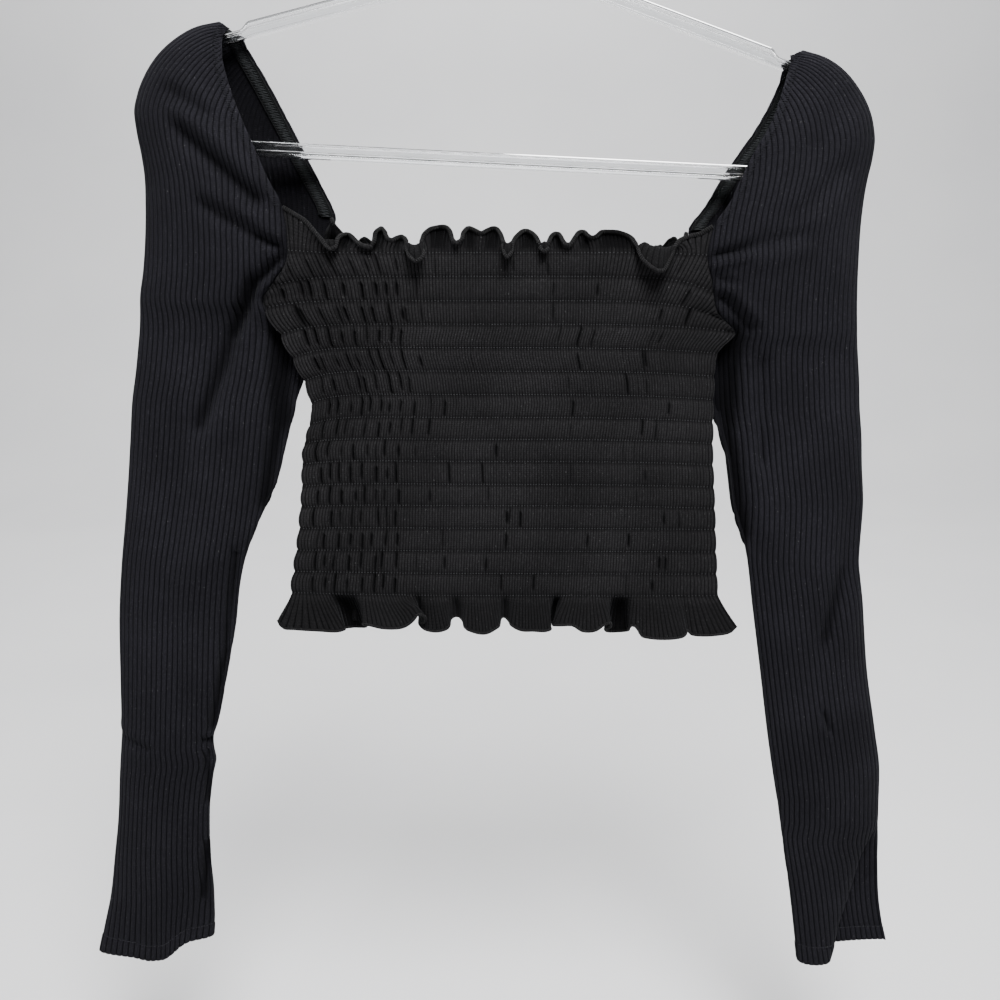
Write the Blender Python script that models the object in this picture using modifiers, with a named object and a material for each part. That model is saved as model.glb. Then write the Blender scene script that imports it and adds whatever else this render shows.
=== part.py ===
"""Smocked top with long ribbed sleeves, hanging on a clear plastic hanger.

World axes: +Z up, the garment's front faces -Y, +X is the viewer's right. The origin is the inside
crown of the hanger's hook. Tables and sizes are in millimetres and are turned into metres at the end.
Every cloth piece is an open surface with a Solidify modifier, so it is a thin wall with open ends.
"""
import math
from collections import namedtuple

import bmesh
import bpy
import numpy as np
from mathutils import Vector

MM = 0.001

# ---------------------------------------------------------------- driving sizes (mm)
CLOTH = 1.2                 # wall of the rib knit
ELASTIC = 1.0               # wall of the neck elastic
ELASTIC_WIDTH = 7.0
ELASTIC_COLUMN_STEP = 3     # over the shoulder it uses every third column of the sleeve
TOUCH_GAP = 0.3             # between pieces that lie on each other
ELASTIC_GAP = 0.5           # between the flat elastic and the curved sleeve around it

FRONT_COLUMNS = 38          # strips across the front panel
BACK_COLUMNS = 20
RING_HALF = 8               # strips from a sleeve's inner edge to its outer fold
TUCK_SLEEVE = 2.0           # how sharply the sleeve's inner fold goes behind the body

HANGER_WIDTH = 427.0
HANGER_TILT = math.radians(2.75)        # the viewer's right side hangs lower
HANGER_BAR = 8.6                        # height of the arms and of the bar
HANGER_THICKNESS = 6.0
ARM_SLOPE = math.radians(16.5)
ARM_END_RADIUS = 46.0
BAR_END_RADIUS = 14.0
APEX_Z = -69.5                          # middle of the arms where they meet
BAR_DROP = 110.5                        # from there to the middle of the bar
HUB_RADIUS = 6.0
HUB_HEIGHT = 16.0
HUB_RISE = 1.0                          # the hub's middle above the arms' upper edge
HOOK_WIRE = 3.2
HOOK_RADIUS = 17.0                      # inside the hook
HOOK_SOCKET = 9.0                       # how deep the stem stands in the hub
HOOK_TIP_ANGLE = math.radians(215)      # where the wire ends, counted from the viewer's right
HOOK_SWING = math.radians(55)           # where the stem's S bend meets the crown's circle
HOOK_BEND_DROP = 10.9                   # height of the S bend

# ---------------------------------------------------------------- how finely round shapes are cut
BEND_POINTS = 7                         # along the hook's S bend
CROWN_POINTS = 20
SHOULDER_POINTS = 8                     # along each round shoulder of the hanger
CORNER_POINTS = 6
GUIDE_SIDES = 24                        # of the hub and its bore
WELD = 1e-6                             # metres, far below any wall
SHARP_ANGLE = math.radians(30)

# ---------------------------------------------------------------- sleeves
# One row is one ring of the sleeve's tube, from the cuff up to the underarm point. outer_x is the
# outer fold, inner_x the inner fold, behind is how far the inner fold lies behind the body and
# half_depth is half the ring's thickness from front to back.
TubeRing = namedtuple("TubeRing", "outer_z inner_z outer_x inner_x behind half_depth")
SLEEVE_TUBE = {
    "left": [
        TubeRing(-706.0, -694.0, -286.0, -206.5, 0.0, 7.0),
        TubeRing(-684.0, -678.0, -280.5, -205.0, 0.0, 9.0),
        TubeRing(-660.0, -657.0, -274.5, -204.5, 0.0, 11.0),
        TubeRing(-630.0, -630.0, -269.5, -205.5, 0.0, 13.0),
        TubeRing(-602.0, -602.0, -265.0, -204.5, 0.0, 14.0),
        TubeRing(-574.0, -574.0, -262.0, -200.5, 0.0, 14.0),
        TubeRing(-546.0, -546.0, -258.5, -197.5, 0.0, 14.0),
        TubeRing(-503.0, -503.0, -256.5, -187.5, 0.0, 13.0),
        TubeRing(-466.0, -466.0, -254.5, -179.5, 0.0, 12.0),
        TubeRing(-430.0, -430.0, -250.5, -173.5, 1.0, 12.0),
        TubeRing(-400.0, -400.0, -246.0, -162.0, 2.0, 11.0),
        TubeRing(-372.0, -372.0, -242.0, -149.0, 4.0, 10.0),
        TubeRing(-344.0, -344.0, -238.5, -141.5, 7.0, 9.5),
        TubeRing(-323.0, -323.0, -236.0, -136.0, 9.0, 9.0),
        TubeRing(-305.0, -305.0, -232.5, -130.5, 12.0, 8.5),
        TubeRing(-290.0, -290.0, -230.0, -131.0, 12.0, 8.5),
        TubeRing(-277.0, -277.0, -228.0, -141.5, 9.0, 9.0),
        TubeRing(-268.5, -268.5, -227.2, -149.0, 4.5, 10.0),
        TubeRing(-259.0, -261.5, -226.5, -152.5, 0.0, 12.0),
    ],
    "right": [
        TubeRing(-697.0, -712.0, 259.5, 199.0, 0.0, 8.0),
        TubeRing(-680.0, -688.0, 255.0, 195.5, 0.0, 10.0),
        TubeRing(-660.0, -662.0, 251.5, 191.5, 0.0, 12.0),
        TubeRing(-632.0, -632.0, 249.0, 186.0, 0.0, 13.0),
        TubeRing(-600.0, -600.0, 246.5, 180.5, 0.0, 14.0),
        TubeRing(-569.0, -569.0, 245.0, 174.5, 0.0, 14.0),
        TubeRing(-541.0, -541.0, 240.0, 169.5, 0.0, 14.0),
        TubeRing(-497.0, -497.0, 231.5, 162.5, 0.0, 14.0),
        TubeRing(-455.0, -455.0, 226.0, 155.5, 0.0, 13.0),
        TubeRing(-421.0, -421.0, 221.0, 150.0, 0.0, 12.0),
        TubeRing(-390.0, -390.0, 221.5, 140.0, 2.0, 11.0),
        TubeRing(-363.0, -363.0, 219.0, 136.0, 5.0, 10.0),
        TubeRing(-345.0, -345.0, 217.5, 131.0, 8.0, 9.0),
        TubeRing(-326.0, -326.0, 215.0, 124.5, 11.0, 8.5),
        TubeRing(-309.0, -309.0, 213.5, 121.0, 12.0, 8.5),
        TubeRing(-297.0, -297.0, 212.0, 126.0, 9.0, 9.0),
        TubeRing(-288.5, -288.5, 211.0, 132.0, 4.5, 10.0),
        TubeRing(-277.0, -281.0, 210.0, 135.7, 0.0, 12.0),
    ],
}

# One row is one strip of the sleeve's head, from the underarm up over the hanger's shoulder. Its
# front edge and back edge run along the armhole seam as far as the neck corner (the row named in
# NECK_CORNER), then along the neck. edge_y is how far both edges stand from the hanger's plane.
HeadRing = namedtuple("HeadRing", "outer_x outer_z front_x front_z back_x back_z edge_y half_depth")
NECK_CORNER = 3
SLEEVE_HEAD = {
    "left": [
        HeadRing(-223.5, -243.0, -145.5, -249.0, -142.0, -249.0, 7.0, 14.0),
        HeadRing(-221.0, -224.0, -140.0, -236.0, -129.0, -237.0, 10.0, 16.0),
        HeadRing(-219.5, -206.0, -137.5, -221.0, -117.0, -225.0, 12.0, 17.5),
        HeadRing(-218.8, -190.0, -138.0, -206.5, -108.5, -212.5, 13.0, 18.5),
        HeadRing(-219.8, -176.0, -144.0, -190.0, -117.0, -192.5, 14.5, 19.0),
        HeadRing(-221.5, -164.0, -149.5, -175.5, -124.5, -178.0, 15.0, 19.0),
        HeadRing(-222.3, -153.0, -155.5, -161.0, -131.0, -164.5, 15.0, 18.5),
        HeadRing(-219.5, -142.0, -160.5, -148.0, -137.5, -151.5, 14.0, 17.0),
        HeadRing(-214.0, -131.0, -164.5, -135.5, -143.5, -139.5, 12.5, 15.0),
        HeadRing(-206.0, -120.5, -167.0, -124.5, -149.0, -129.0, 10.5, 12.5),
        HeadRing(-195.0, -111.5, -167.5, -116.5, -154.0, -120.5, 8.5, 10.5),
        HeadRing(-183.0, -105.5, -166.5, -110.5, -157.5, -114.0, 7.0, 8.8),
        HeadRing(-170.0, -103.0, -163.5, -107.0, -159.5, -109.5, 5.6, 7.4),
    ],
    "right": [
        HeadRing(208.8, -261.0, 128.0, -266.5, 130.0, -266.5, 7.0, 14.0),
        HeadRing(208.0, -241.0, 121.5, -250.5, 121.0, -251.5, 10.0, 16.0),
        HeadRing(207.7, -221.0, 117.5, -234.0, 113.0, -236.5, 12.0, 17.5),
        HeadRing(208.3, -204.0, 118.0, -217.5, 107.5, -220.0, 13.0, 18.5),
        HeadRing(209.8, -190.0, 126.5, -204.0, 115.0, -205.0, 14.5, 19.0),
        HeadRing(211.8, -179.0, 132.5, -190.0, 123.0, -189.5, 15.0, 19.0),
        HeadRing(212.6, -169.0, 140.0, -174.5, 132.0, -175.0, 15.0, 18.5),
        HeadRing(210.8, -158.5, 148.0, -160.5, 140.5, -161.0, 14.0, 17.0),
        HeadRing(206.5, -147.5, 152.5, -148.0, 147.0, -150.0, 12.5, 15.0),
        HeadRing(200.0, -137.5, 155.5, -138.5, 151.5, -141.5, 10.5, 12.5),
        HeadRing(191.0, -128.5, 158.0, -131.0, 154.5, -134.5, 8.5, 10.5),
        HeadRing(180.0, -122.0, 159.5, -126.0, 156.5, -129.0, 7.0, 8.8),
        HeadRing(167.5, -118.6, 160.0, -122.0, 158.0, -124.5, 5.6, 7.4),
    ],
}

# The largest creases of each sleeve's front: a straight trough from one place to another, how deep it
# is and its half width. The back has the same ones, a little lower and shallower.
Fold = namedtuple("Fold", "from_x from_z to_x to_z depth half_width")
SLEEVE_FOLDS = {
    "left": [Fold(-196.0, -163.0, -166.0, -190.0, 3.0, 8.0), Fold(-178.0, -206.0, -142.0, -227.0, 4.5, 8.0),
             Fold(-163.0, -257.0, -193.0, -333.0, 5.5, 9.0), Fold(-222.0, -520.0, -212.0, -610.0, 4.0, 8.0)],
    "right": [Fold(124.0, -232.0, 158.0, -214.0, 3.0, 8.0), Fold(127.0, -259.0, 150.0, -277.0, 4.5, 8.0),
              Fold(145.0, -302.0, 149.0, -385.0, 4.5, 8.0), Fold(212.0, -396.0, 202.0, -468.0, 4.0, 9.0)],
}
BACK_FOLD_DROP = 12.0
BACK_FOLD_DEPTH = 0.7

# ---------------------------------------------------------------- front and back panels
# The first rows run into the armhole seams: mid_z is the row's height in the middle of the panel,
# its ends are the sleeve's seam edges, seam_gap away. depth is how far the middle stands from the
# hanger's plane. Where the seam turns under the arm the walls lean, so the gap is wider there.
ArmholeRow = namedtuple("ArmholeRow", "front_mid_z back_mid_z depth seam_gap")
ARMHOLE_ROWS = [                # underarm row last
    ArmholeRow(-218.5, -231.0, 17.5, 0.5),
    ArmholeRow(-232.5, -241.0, 16.5, 0.6),
    ArmholeRow(-246.0, -251.0, 15.5, 0.8),
    ArmholeRow(-257.0, -260.0, 14.5, 1.3),
    ArmholeRow(-268.0, -270.0, 14.0, 1.7),
]
SHIRRED_ROWS = 12               # even rows from the underarm row to the last shirring row
LAST_SHIRRING_Z = (-445.0, -444.0, -448.0)      # left, middle, right
BODY_DEPTH = 13.5               # middle of the panel from the hanger's plane, below the armholes
FLOUNCE_ROWS = 4
FLOUNCE_DEPTH = 17.0
HEM_Z = (-470.0, -469.0, -477.0)                # left, middle, right, without the flutes
SAG_POWER = 2.5                 # rows are level in the middle and bend near the sides

SideStation = namedtuple("SideStation", "z x")
SIDE_EDGE = {
    "left": [SideStation(-261.5, -152.5), SideStation(-269.5, -145.5), SideStation(-282.0, -140.0),
             SideStation(-299.5, -133.0), SideStation(-313.5, -126.5), SideStation(-328.0, -123.3),
             SideStation(-342.0, -126.8), SideStation(-354.0, -130.4), SideStation(-381.0, -132.0),
             SideStation(-407.0, -135.2), SideStation(-435.0, -140.0), SideStation(-446.0, -142.0),
             SideStation(-470.0, -152.0)],
    "right": [SideStation(-281.0, 135.7), SideStation(-289.0, 127.1), SideStation(-297.0, 123.8),
              SideStation(-322.0, 123.6), SideStation(-354.0, 124.6), SideStation(-385.0, 127.1),
              SideStation(-411.0, 129.0), SideStation(-446.0, 131.5), SideStation(-477.0, 144.5)],
}

# Dips of the neck ruffle: a dip's place across the panel, how far the edge drops there, how far it
# tips forward (or back, where negative) and the dip's half width.
Flute = namedtuple("Flute", "x drop forward half_width")
NECK_DIPS = [
    Flute(-110.5, 12.0, 5.0, 8.5), Flute(-84.5, 9.5, 4.0, 6.5), Flute(-57.5, 18.0, 6.5, 8.0),
    Flute(-34.0, 6.5, 2.5, 6.5), Flute(-4.0, 14.0, 6.5, 7.0), Flute(19.5, 11.5, 5.0, 7.0),
    Flute(33.5, 7.5, 2.5, 6.0), Flute(49.5, 4.5, 2.0, 6.0), Flute(87.5, 23.0, 8.0, 12.0),
]
BACK_NECK_DIPS = [
    Flute(-78.0, 5.0, -4.0, 12.0), Flute(-34.0, 7.0, -5.0, 12.0), Flute(10.0, 5.0, -4.0, 12.0),
    Flute(52.0, 7.0, -5.0, 12.0), Flute(84.0, 4.0, -3.5, 12.0),
]
# Flutes of the hem: drop is negative where the edge is lifted.
HEM_FLUTES = [
    Flute(-109.0, -1.5, 4.0, 10.0), Flute(-84.0, 2.5, -4.5, 9.0), Flute(-63.0, -8.5, 6.0, 8.5),
    Flute(-38.0, 1.5, -4.0, 12.0), Flute(-5.0, -6.0, 5.5, 7.5), Flute(12.0, 1.0, -3.5, 9.0),
    Flute(32.0, -5.0, 4.5, 7.0), Flute(48.0, 2.0, -3.0, 8.0), Flute(60.0, -3.0, 4.0, 6.5),
    Flute(78.0, 3.0, -5.0, 8.0), Flute(103.0, -2.5, 5.0, 12.0), Flute(126.0, 2.0, -3.5, 8.0),
]
BACK_HEM_FLUTES = [
    Flute(-105.0, -4.0, -5.0, 13.0), Flute(-66.0, 2.0, 3.0, 12.0), Flute(-28.0, -5.0, -5.0, 13.0),
    Flute(14.0, 2.0, 3.0, 12.0), Flute(54.0, -5.0, -5.0, 13.0), Flute(96.0, 1.0, 3.0, 12.0),
]

# How much of a flute each row of the panel takes, from the free edge in (neck) and down (hem).
NECK_FLUTE_STRENGTH = (1.0, 0.45)
HEM_FLUTE_STRENGTH = (0.2, 0.45, 0.75, 1.0)
FLUTE_TAPER = 8                 # how late the flutes die out on their way to the side seams

SIDES = ("left", "right")


# ---------------------------------------------------------------- points of the sleeves
def fold_shift(side, x, z, is_front):
    """How far the creases push a point of a sleeve in towards its middle plane."""
    drop, strength = (0.0, 1.0) if is_front else (BACK_FOLD_DROP, BACK_FOLD_DEPTH)
    shift = 0.0
    for fold in SLEEVE_FOLDS[side]:
        along = Vector((fold.to_x - fold.from_x, fold.to_z - fold.from_z))
        offset = Vector((x - fold.from_x, z + drop - fold.from_z))
        share = min(max(offset.dot(along) / along.length_squared, 0.0), 1.0)
        away = (offset - along * share).length / fold.half_width
        shift += strength * fold.depth * math.exp(-away ** 2)
    return shift


def tube_ring(side, ring):
    """Points of one closed ring, from the inner fold round the front to the outer fold and back."""
    points = []
    for step in range(2 * RING_HALF + 1):
        turn = math.pi * step / RING_HALF
        is_front = step <= RING_HALF
        reach = (1 - math.cos(turn)) / 2
        x = ring.inner_x + (ring.outer_x - ring.inner_x) * reach
        z = ring.inner_z + (ring.outer_z - ring.inner_z) * reach
        depth = (ring.half_depth - fold_shift(side, x, z, is_front)) * math.sin(turn)
        points.append((x, ring.behind * (1 - reach) ** TUCK_SLEEVE - depth, z))
    return points


def head_ring(side, ring):
    """Points of one open strip of the sleeve's head, from its front edge over the fold to its back edge."""
    start = math.asin(ring.edge_y / ring.half_depth)
    points = []
    for step in range(2 * RING_HALF + 1):
        is_front = step <= RING_HALF
        half_step = step if is_front else 2 * RING_HALF - step
        turn = start + (math.pi - start) * half_step / RING_HALF
        reach = 1 - (1 + math.cos(turn)) / (1 + math.cos(start))
        edge_x = ring.front_x if is_front else ring.back_x
        edge_z = ring.front_z if is_front else ring.back_z
        x = edge_x + (ring.outer_x - edge_x) * reach
        z = edge_z + (ring.outer_z - edge_z) * reach
        held = 1 - (1 - 2 * reach) ** 2         # the creases leave the seam, neck and fold as they are
        depth = ring.half_depth * math.sin(turn) - fold_shift(side, x, z, is_front) * held
        points.append((x, -depth if is_front else depth, z))
    return points


def sleeve_rings(side):
    """All rings of a sleeve with a flag that says whether the ring is closed."""
    closed = [(tube_ring(side, ring), True) for ring in SLEEVE_TUBE[side]]
    opened = [(head_ring(side, ring), False) for ring in SLEEVE_HEAD[side]]
    return closed + opened


def seam_point(side, face, level):
    """Where a panel's armhole row ends: level 0 is the neck corner and the last level the underarm."""
    if level == len(ARMHOLE_ROWS) - 1:
        underarm = SLEEVE_TUBE[side][-1]
        return underarm.inner_x, flat_edge(), underarm.inner_z
    ring = SLEEVE_HEAD[side][NECK_CORNER - level]
    if face == "front":
        return ring.front_x, ring.edge_y, ring.front_z
    return ring.back_x, ring.edge_y, ring.back_z


# ---------------------------------------------------------------- points of the panels
def flat_edge():
    """Distance of a panel's side edge from the garment's middle plane, where both panels lie together."""
    return (CLOTH + TOUCH_GAP) / 2


def side_x(side, z):
    """The panel's side edge at a height below the armhole."""
    stations = sorted(SIDE_EDGE[side])
    return float(np.interp(z, [s.z for s in stations], [s.x for s in stations]))


def panel_rows(face):
    """Each row of a panel: its left end, its right end, its middle height and its middle depth."""
    rows = []
    for level, row in enumerate(ARMHOLE_ROWS):
        left, right = (seam_point(side, face, level) for side in SIDES)
        left = (left[0] + row.seam_gap, *left[1:])
        right = (right[0] - row.seam_gap, *right[1:])
        rows.append((left, right, row.front_mid_z if face == "front" else row.back_mid_z, row.depth))
    # the middle of the ruffle lies halfway between the neck edge and the first shirring row
    neck, first = rows[0], rows[1]
    ends = [tuple((a + b) / 2 for a, b in zip(neck[side], first[side])) for side in (0, 1)]
    rows.insert(1, (ends[0], ends[1], (neck[2] + first[2]) / 2, (neck[3] + first[3]) / 2))
    underarm_left, underarm_right, underarm_mid, underarm_depth = rows[-1]
    starts = (underarm_left[2], underarm_mid, underarm_right[2])
    for step in range(1, SHIRRED_ROWS + 1):
        share = step / SHIRRED_ROWS
        left_z, mid_z, right_z = (a + (b - a) * share for a, b in zip(starts, LAST_SHIRRING_Z))
        depth = underarm_depth + (BODY_DEPTH - underarm_depth) * share
        rows.append(((side_x("left", left_z), flat_edge(), left_z),
                     (side_x("right", right_z), flat_edge(), right_z), mid_z, depth))
    for step in range(1, FLOUNCE_ROWS + 1):
        share = step / FLOUNCE_ROWS
        left_z, mid_z, right_z = (a + (b - a) * share for a, b in zip(LAST_SHIRRING_Z, HEM_Z))
        depth = BODY_DEPTH + (FLOUNCE_DEPTH - BODY_DEPTH) * share
        rows.append(((side_x("left", left_z), flat_edge(), left_z),
                     (side_x("right", right_z), flat_edge(), right_z), mid_z, depth))
    return rows


def flute_shift(flutes, x, strength):
    """Drop and forward tip that a set of flutes gives to a point of a free edge."""
    drop = forward = 0.0
    for flute in flutes:
        reach = math.exp(-((x - flute.x) / flute.half_width) ** 2)
        drop += flute.drop * reach * strength
        forward += flute.forward * reach * strength
    return drop, forward


def panel_grid(face):
    """Points of the front or back panel, row by row from the neck edge to the hem."""
    columns = FRONT_COLUMNS if face == "front" else BACK_COLUMNS
    neck_flutes = NECK_DIPS if face == "front" else BACK_NECK_DIPS
    hem_flutes = HEM_FLUTES if face == "front" else BACK_HEM_FLUTES
    outward = -1 if face == "front" else 1
    rows = panel_rows(face)
    grid = []
    for index, (left, right, mid_z, depth) in enumerate(rows):
        from_hem = index - (len(rows) - FLOUNCE_ROWS)
        line = []
        for column in range(columns + 1):
            across = -1 + 2 * column / columns
            end = left if across < 0 else right
            nearness = abs(across) ** SAG_POWER
            x = left[0] + (right[0] - left[0]) * (across + 1) / 2
            z = mid_z + (end[2] - mid_z) * nearness
            y = outward * (end[1] + (depth - end[1]) * (1 - across ** 2))
            taper = 1 - across ** FLUTE_TAPER
            drop = forward = 0.0
            if index < len(NECK_FLUTE_STRENGTH):
                drop, forward = flute_shift(neck_flutes, x, NECK_FLUTE_STRENGTH[index] * taper)
            elif from_hem >= 0:
                drop, forward = flute_shift(hem_flutes, x, HEM_FLUTE_STRENGTH[from_hem] * taper)
            line.append((x, y - forward, z - drop))
        grid.append(line)
    return grid


# ---------------------------------------------------------------- points of the neck elastic
def walk(points, distance):
    """The place on a line of points that is a straight distance away from its first point."""
    start = Vector(points[0])
    for near, far in zip(points, points[1:]):
        near, far = Vector(near), Vector(far)
        if (far - start).length >= distance:
            share = (distance - (near - start).length) / ((far - start).length - (near - start).length)
            return near.lerp(far, share)
    return Vector(points[-1])


def elastic_lines(side):
    """Two lines of points inside the sleeve's neck edge, made from the sleeve's own points."""
    rings = [head_ring(side, ring) for ring in SLEEVE_HEAD[side][NECK_CORNER:]]
    paths = [ring[:RING_HALF] for ring in rings[:-1]]
    top_columns = range(2, 2 * RING_HALF - 1, ELASTIC_COLUMN_STEP)
    paths += [[ring[column] for ring in reversed(rings)] for column in top_columns]
    paths += [ring[:RING_HALF:-1] for ring in reversed(rings[:-1])]
    middle = Vector(np.mean([point for ring in rings for point in ring], axis=0))
    offset = CLOTH / 2 + ELASTIC_GAP + ELASTIC / 2
    edge_line = []
    inner_line = []
    for index, path in enumerate(paths):
        edge = Vector(path[0])
        before = Vector(paths[max(index - 1, 0)][0])
        after = Vector(paths[min(index + 1, len(paths) - 1)][0])
        along = (walk(path, ELASTIC_WIDTH) - edge).normalized()
        inward = (after - before).cross(along).normalized()
        if inward.dot(middle - edge) < 0:
            inward.negate()
        start = edge + along * TOUCH_GAP + inward * offset
        edge_line.append(start)
        inner_line.append(start + along * (ELASTIC_WIDTH - TOUCH_GAP))
    return edge_line, inner_line


# ---------------------------------------------------------------- making objects
def material(name, color, roughness, alpha=1.0, metallic=0.0, transmission=0.0):
    """A Principled BSDF material."""
    made = bpy.data.materials.new(name)
    made.use_nodes = True
    shader = made.node_tree.nodes["Principled BSDF"]
    shader.inputs["Base Color"].default_value = (*color, 1.0)
    shader.inputs["Roughness"].default_value = roughness
    shader.inputs["Metallic"].default_value = metallic
    shader.inputs["Transmission Weight"].default_value = transmission
    shader.inputs["Alpha"].default_value = alpha
    return made


def finish(piece, collection, look):
    """Puts a piece in the collection with its material."""
    collection.objects.link(piece)
    piece.data.materials.append(look)
    return piece


def cloth_object(name, rows, collection, look, wall, closed=()):
    """A thin-walled cloth piece on a grid of points; closed rows share their first and last point."""
    shape = bmesh.new()
    vertices = []
    for index, row in enumerate(rows):
        line = [shape.verts.new(Vector(point) * MM) for point in (row[:-1] if index in closed else row)]
        if index in closed:
            line.append(line[0])
        vertices.append(line)
    for lower, upper in zip(vertices, vertices[1:]):
        for column in range(len(lower) - 1):
            shape.faces.new((lower[column], lower[column + 1], upper[column + 1], upper[column]))
    mesh = bpy.data.meshes.new(name)
    shape.to_mesh(mesh)
    shape.free()
    mesh.shade_smooth()
    piece = bpy.data.objects.new(name, mesh)
    finish(piece, collection, look)
    thicken = piece.modifiers.new("wall", "SOLIDIFY")
    thicken.thickness = wall * MM
    thicken.offset = 0.0
    thicken.use_even_offset = True
    return piece


# ---------------------------------------------------------------- the hanger
def arc(center_x, center_z, radius, start, end, steps):
    """Points of an arc in the hanger's plane."""
    turns = np.linspace(start, end, steps)
    return [(center_x + radius * math.cos(t), center_z + radius * math.sin(t)) for t in turns]


def hanger_loop(offset):
    """Closed outline at a distance outside (or inside, where negative) the middle of the hanger's bars."""
    reach = HANGER_WIDTH / 2 - HANGER_BAR / 2
    corner_z = -reach * math.tan(ARM_SLOPE)
    bend = math.pi / 2 - ARM_SLOPE
    shoulder_x = reach - ARM_END_RADIUS
    shoulder_z = corner_z - ARM_END_RADIUS * math.tan(bend / 2)
    bar_z = -BAR_DROP
    foot_x = reach - BAR_END_RADIUS
    foot_z = bar_z + BAR_END_RADIUS
    apex = (0.0, offset / math.cos(ARM_SLOPE))
    right = [apex]
    right += arc(shoulder_x, shoulder_z, ARM_END_RADIUS + offset, bend, 0.0, SHOULDER_POINTS)
    right += arc(foot_x, foot_z, BAR_END_RADIUS + offset, 0.0, -math.pi / 2, CORNER_POINTS)
    left = [(-x, z) for x, z in reversed(right[1:])]
    return right + left


def hanger_frame(collection, look):
    """Arms and bottom bar in one loop, with a bored hub for the hook."""
    flat = bpy.data.curves.new("hanger_outline", "CURVE")
    flat.dimensions = "2D"
    flat.fill_mode = "BOTH"
    flat.extrude = HANGER_THICKNESS / 2 * MM
    for offset in (HANGER_BAR / 2, -HANGER_BAR / 2):
        loop = hanger_loop(offset)
        spline = flat.splines.new("POLY")
        spline.points.add(len(loop) - 1)
        spline.use_cyclic_u = True
        for point, (x, z) in zip(spline.points, loop):
            point.co = (x * MM, z * MM, 0.0, 1.0)
    outline = bpy.data.objects.new("hanger_outline", flat)
    collection.objects.link(outline)
    outline.location = (0.0, 0.0, APEX_Z * MM)
    outline.rotation_euler = (math.pi / 2, HANGER_TILT, 0.0)
    bpy.context.view_layer.update()
    solid = bpy.data.meshes.new_from_object(outline.evaluated_get(bpy.context.evaluated_depsgraph_get()))
    shape = bmesh.new()
    shape.from_mesh(solid)
    bmesh.ops.remove_doubles(shape, verts=shape.verts, dist=WELD)
    bmesh.ops.recalc_face_normals(shape, faces=shape.faces)
    shape.transform(outline.matrix_world)
    shape.to_mesh(solid)
    shape.free()
    bpy.data.objects.remove(outline)
    solid.shade_smooth()
    solid.set_sharp_from_angle(angle=SHARP_ANGLE)
    solid.name = "hanger_frame"
    frame = bpy.data.objects.new("hanger_frame", solid)
    finish(frame, collection, look)
    hub_middle = APEX_Z + HANGER_BAR / 2 + HUB_RISE
    bore_bottom = hub_middle + HUB_HEIGHT / 2 - HOOK_SOCKET
    bore_radius = HOOK_WIRE / 2 + TOUCH_GAP
    hub = guide_cylinder("hub_guide", HUB_RADIUS, hub_middle - HUB_HEIGHT / 2, hub_middle + HUB_HEIGHT / 2)
    bore = guide_cylinder("bore_guide", bore_radius, bore_bottom, bore_bottom + 2 * HOOK_SOCKET)
    for guide, operation in ((hub, "UNION"), (bore, "DIFFERENCE")):
        cut = frame.modifiers.new(guide.name, "BOOLEAN")
        cut.operation = operation
        cut.object = guide
    return frame, bore_bottom


def guide_cylinder(name, radius, bottom, top):
    """A hidden upright cylinder on the Z axis that shapes the hub."""
    shape = bmesh.new()
    bmesh.ops.create_cone(shape, cap_ends=True, segments=GUIDE_SIDES, radius1=radius * MM,
                          radius2=radius * MM, depth=(top - bottom) * MM)
    mesh = bpy.data.meshes.new(name)
    shape.to_mesh(mesh)
    shape.free()
    guide = bpy.data.objects.new(name, mesh)
    guide.location = (0.0, 0.0, (bottom + top) / 2 * MM)
    guide.hide_render = True
    guide.display_type = "WIRE"
    cutters.objects.link(guide)
    return guide


def hanger_hook(collection, look, bore_bottom):
    """A wire hook: a straight stem, a bend out to the side and a round crown."""
    middle = HOOK_RADIUS + HOOK_WIRE / 2
    crown_z = -HOOK_RADIUS
    meet_x = middle * math.cos(HOOK_SWING)
    meet_z = crown_z - middle * math.sin(HOOK_SWING)
    stem_top = meet_z - HOOK_BEND_DROP
    route = [(0.0, bore_bottom + TOUCH_GAP)]
    for share in np.linspace(0.0, 1.0, BEND_POINTS):
        sideways = share * share
        upward = 2 * share - share * share
        route.append((meet_x * sideways, stem_top + (meet_z - stem_top) * upward))
    route += arc(0.0, crown_z, middle, -HOOK_SWING, HOOK_TIP_ANGLE, CROWN_POINTS)[1:]
    wire = bpy.data.curves.new("hanger_hook", "CURVE")
    wire.dimensions = "3D"
    wire.bevel_depth = HOOK_WIRE / 2 * MM
    wire.bevel_resolution = 2
    wire.use_fill_caps = True
    spline = wire.splines.new("POLY")
    spline.points.add(len(route) - 1)
    for point, (x, z) in zip(spline.points, route):
        point.co = (x * MM, 0.0, z * MM, 1.0)
    hook = bpy.data.objects.new("hanger_hook", wire)
    return finish(hook, collection, look)


# ---------------------------------------------------------------- the whole part
for old in list(bpy.data.objects):
    bpy.data.objects.remove(old)
top = bpy.data.collections.new("smocked top on a hanger")
cutters = bpy.data.collections.new("guides")
for made in (top, cutters):
    bpy.context.scene.collection.children.link(made)

knit = material("rib_knit", (0.018, 0.018, 0.021), 0.9)
elastic = material("neck_elastic", (0.045, 0.045, 0.05), 0.85)
plastic = material("clear_plastic", (0.9, 0.93, 0.95), 0.12, alpha=0.35, transmission=0.8)
steel = material("hook_steel", (0.65, 0.65, 0.66), 0.25, metallic=1.0)

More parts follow.
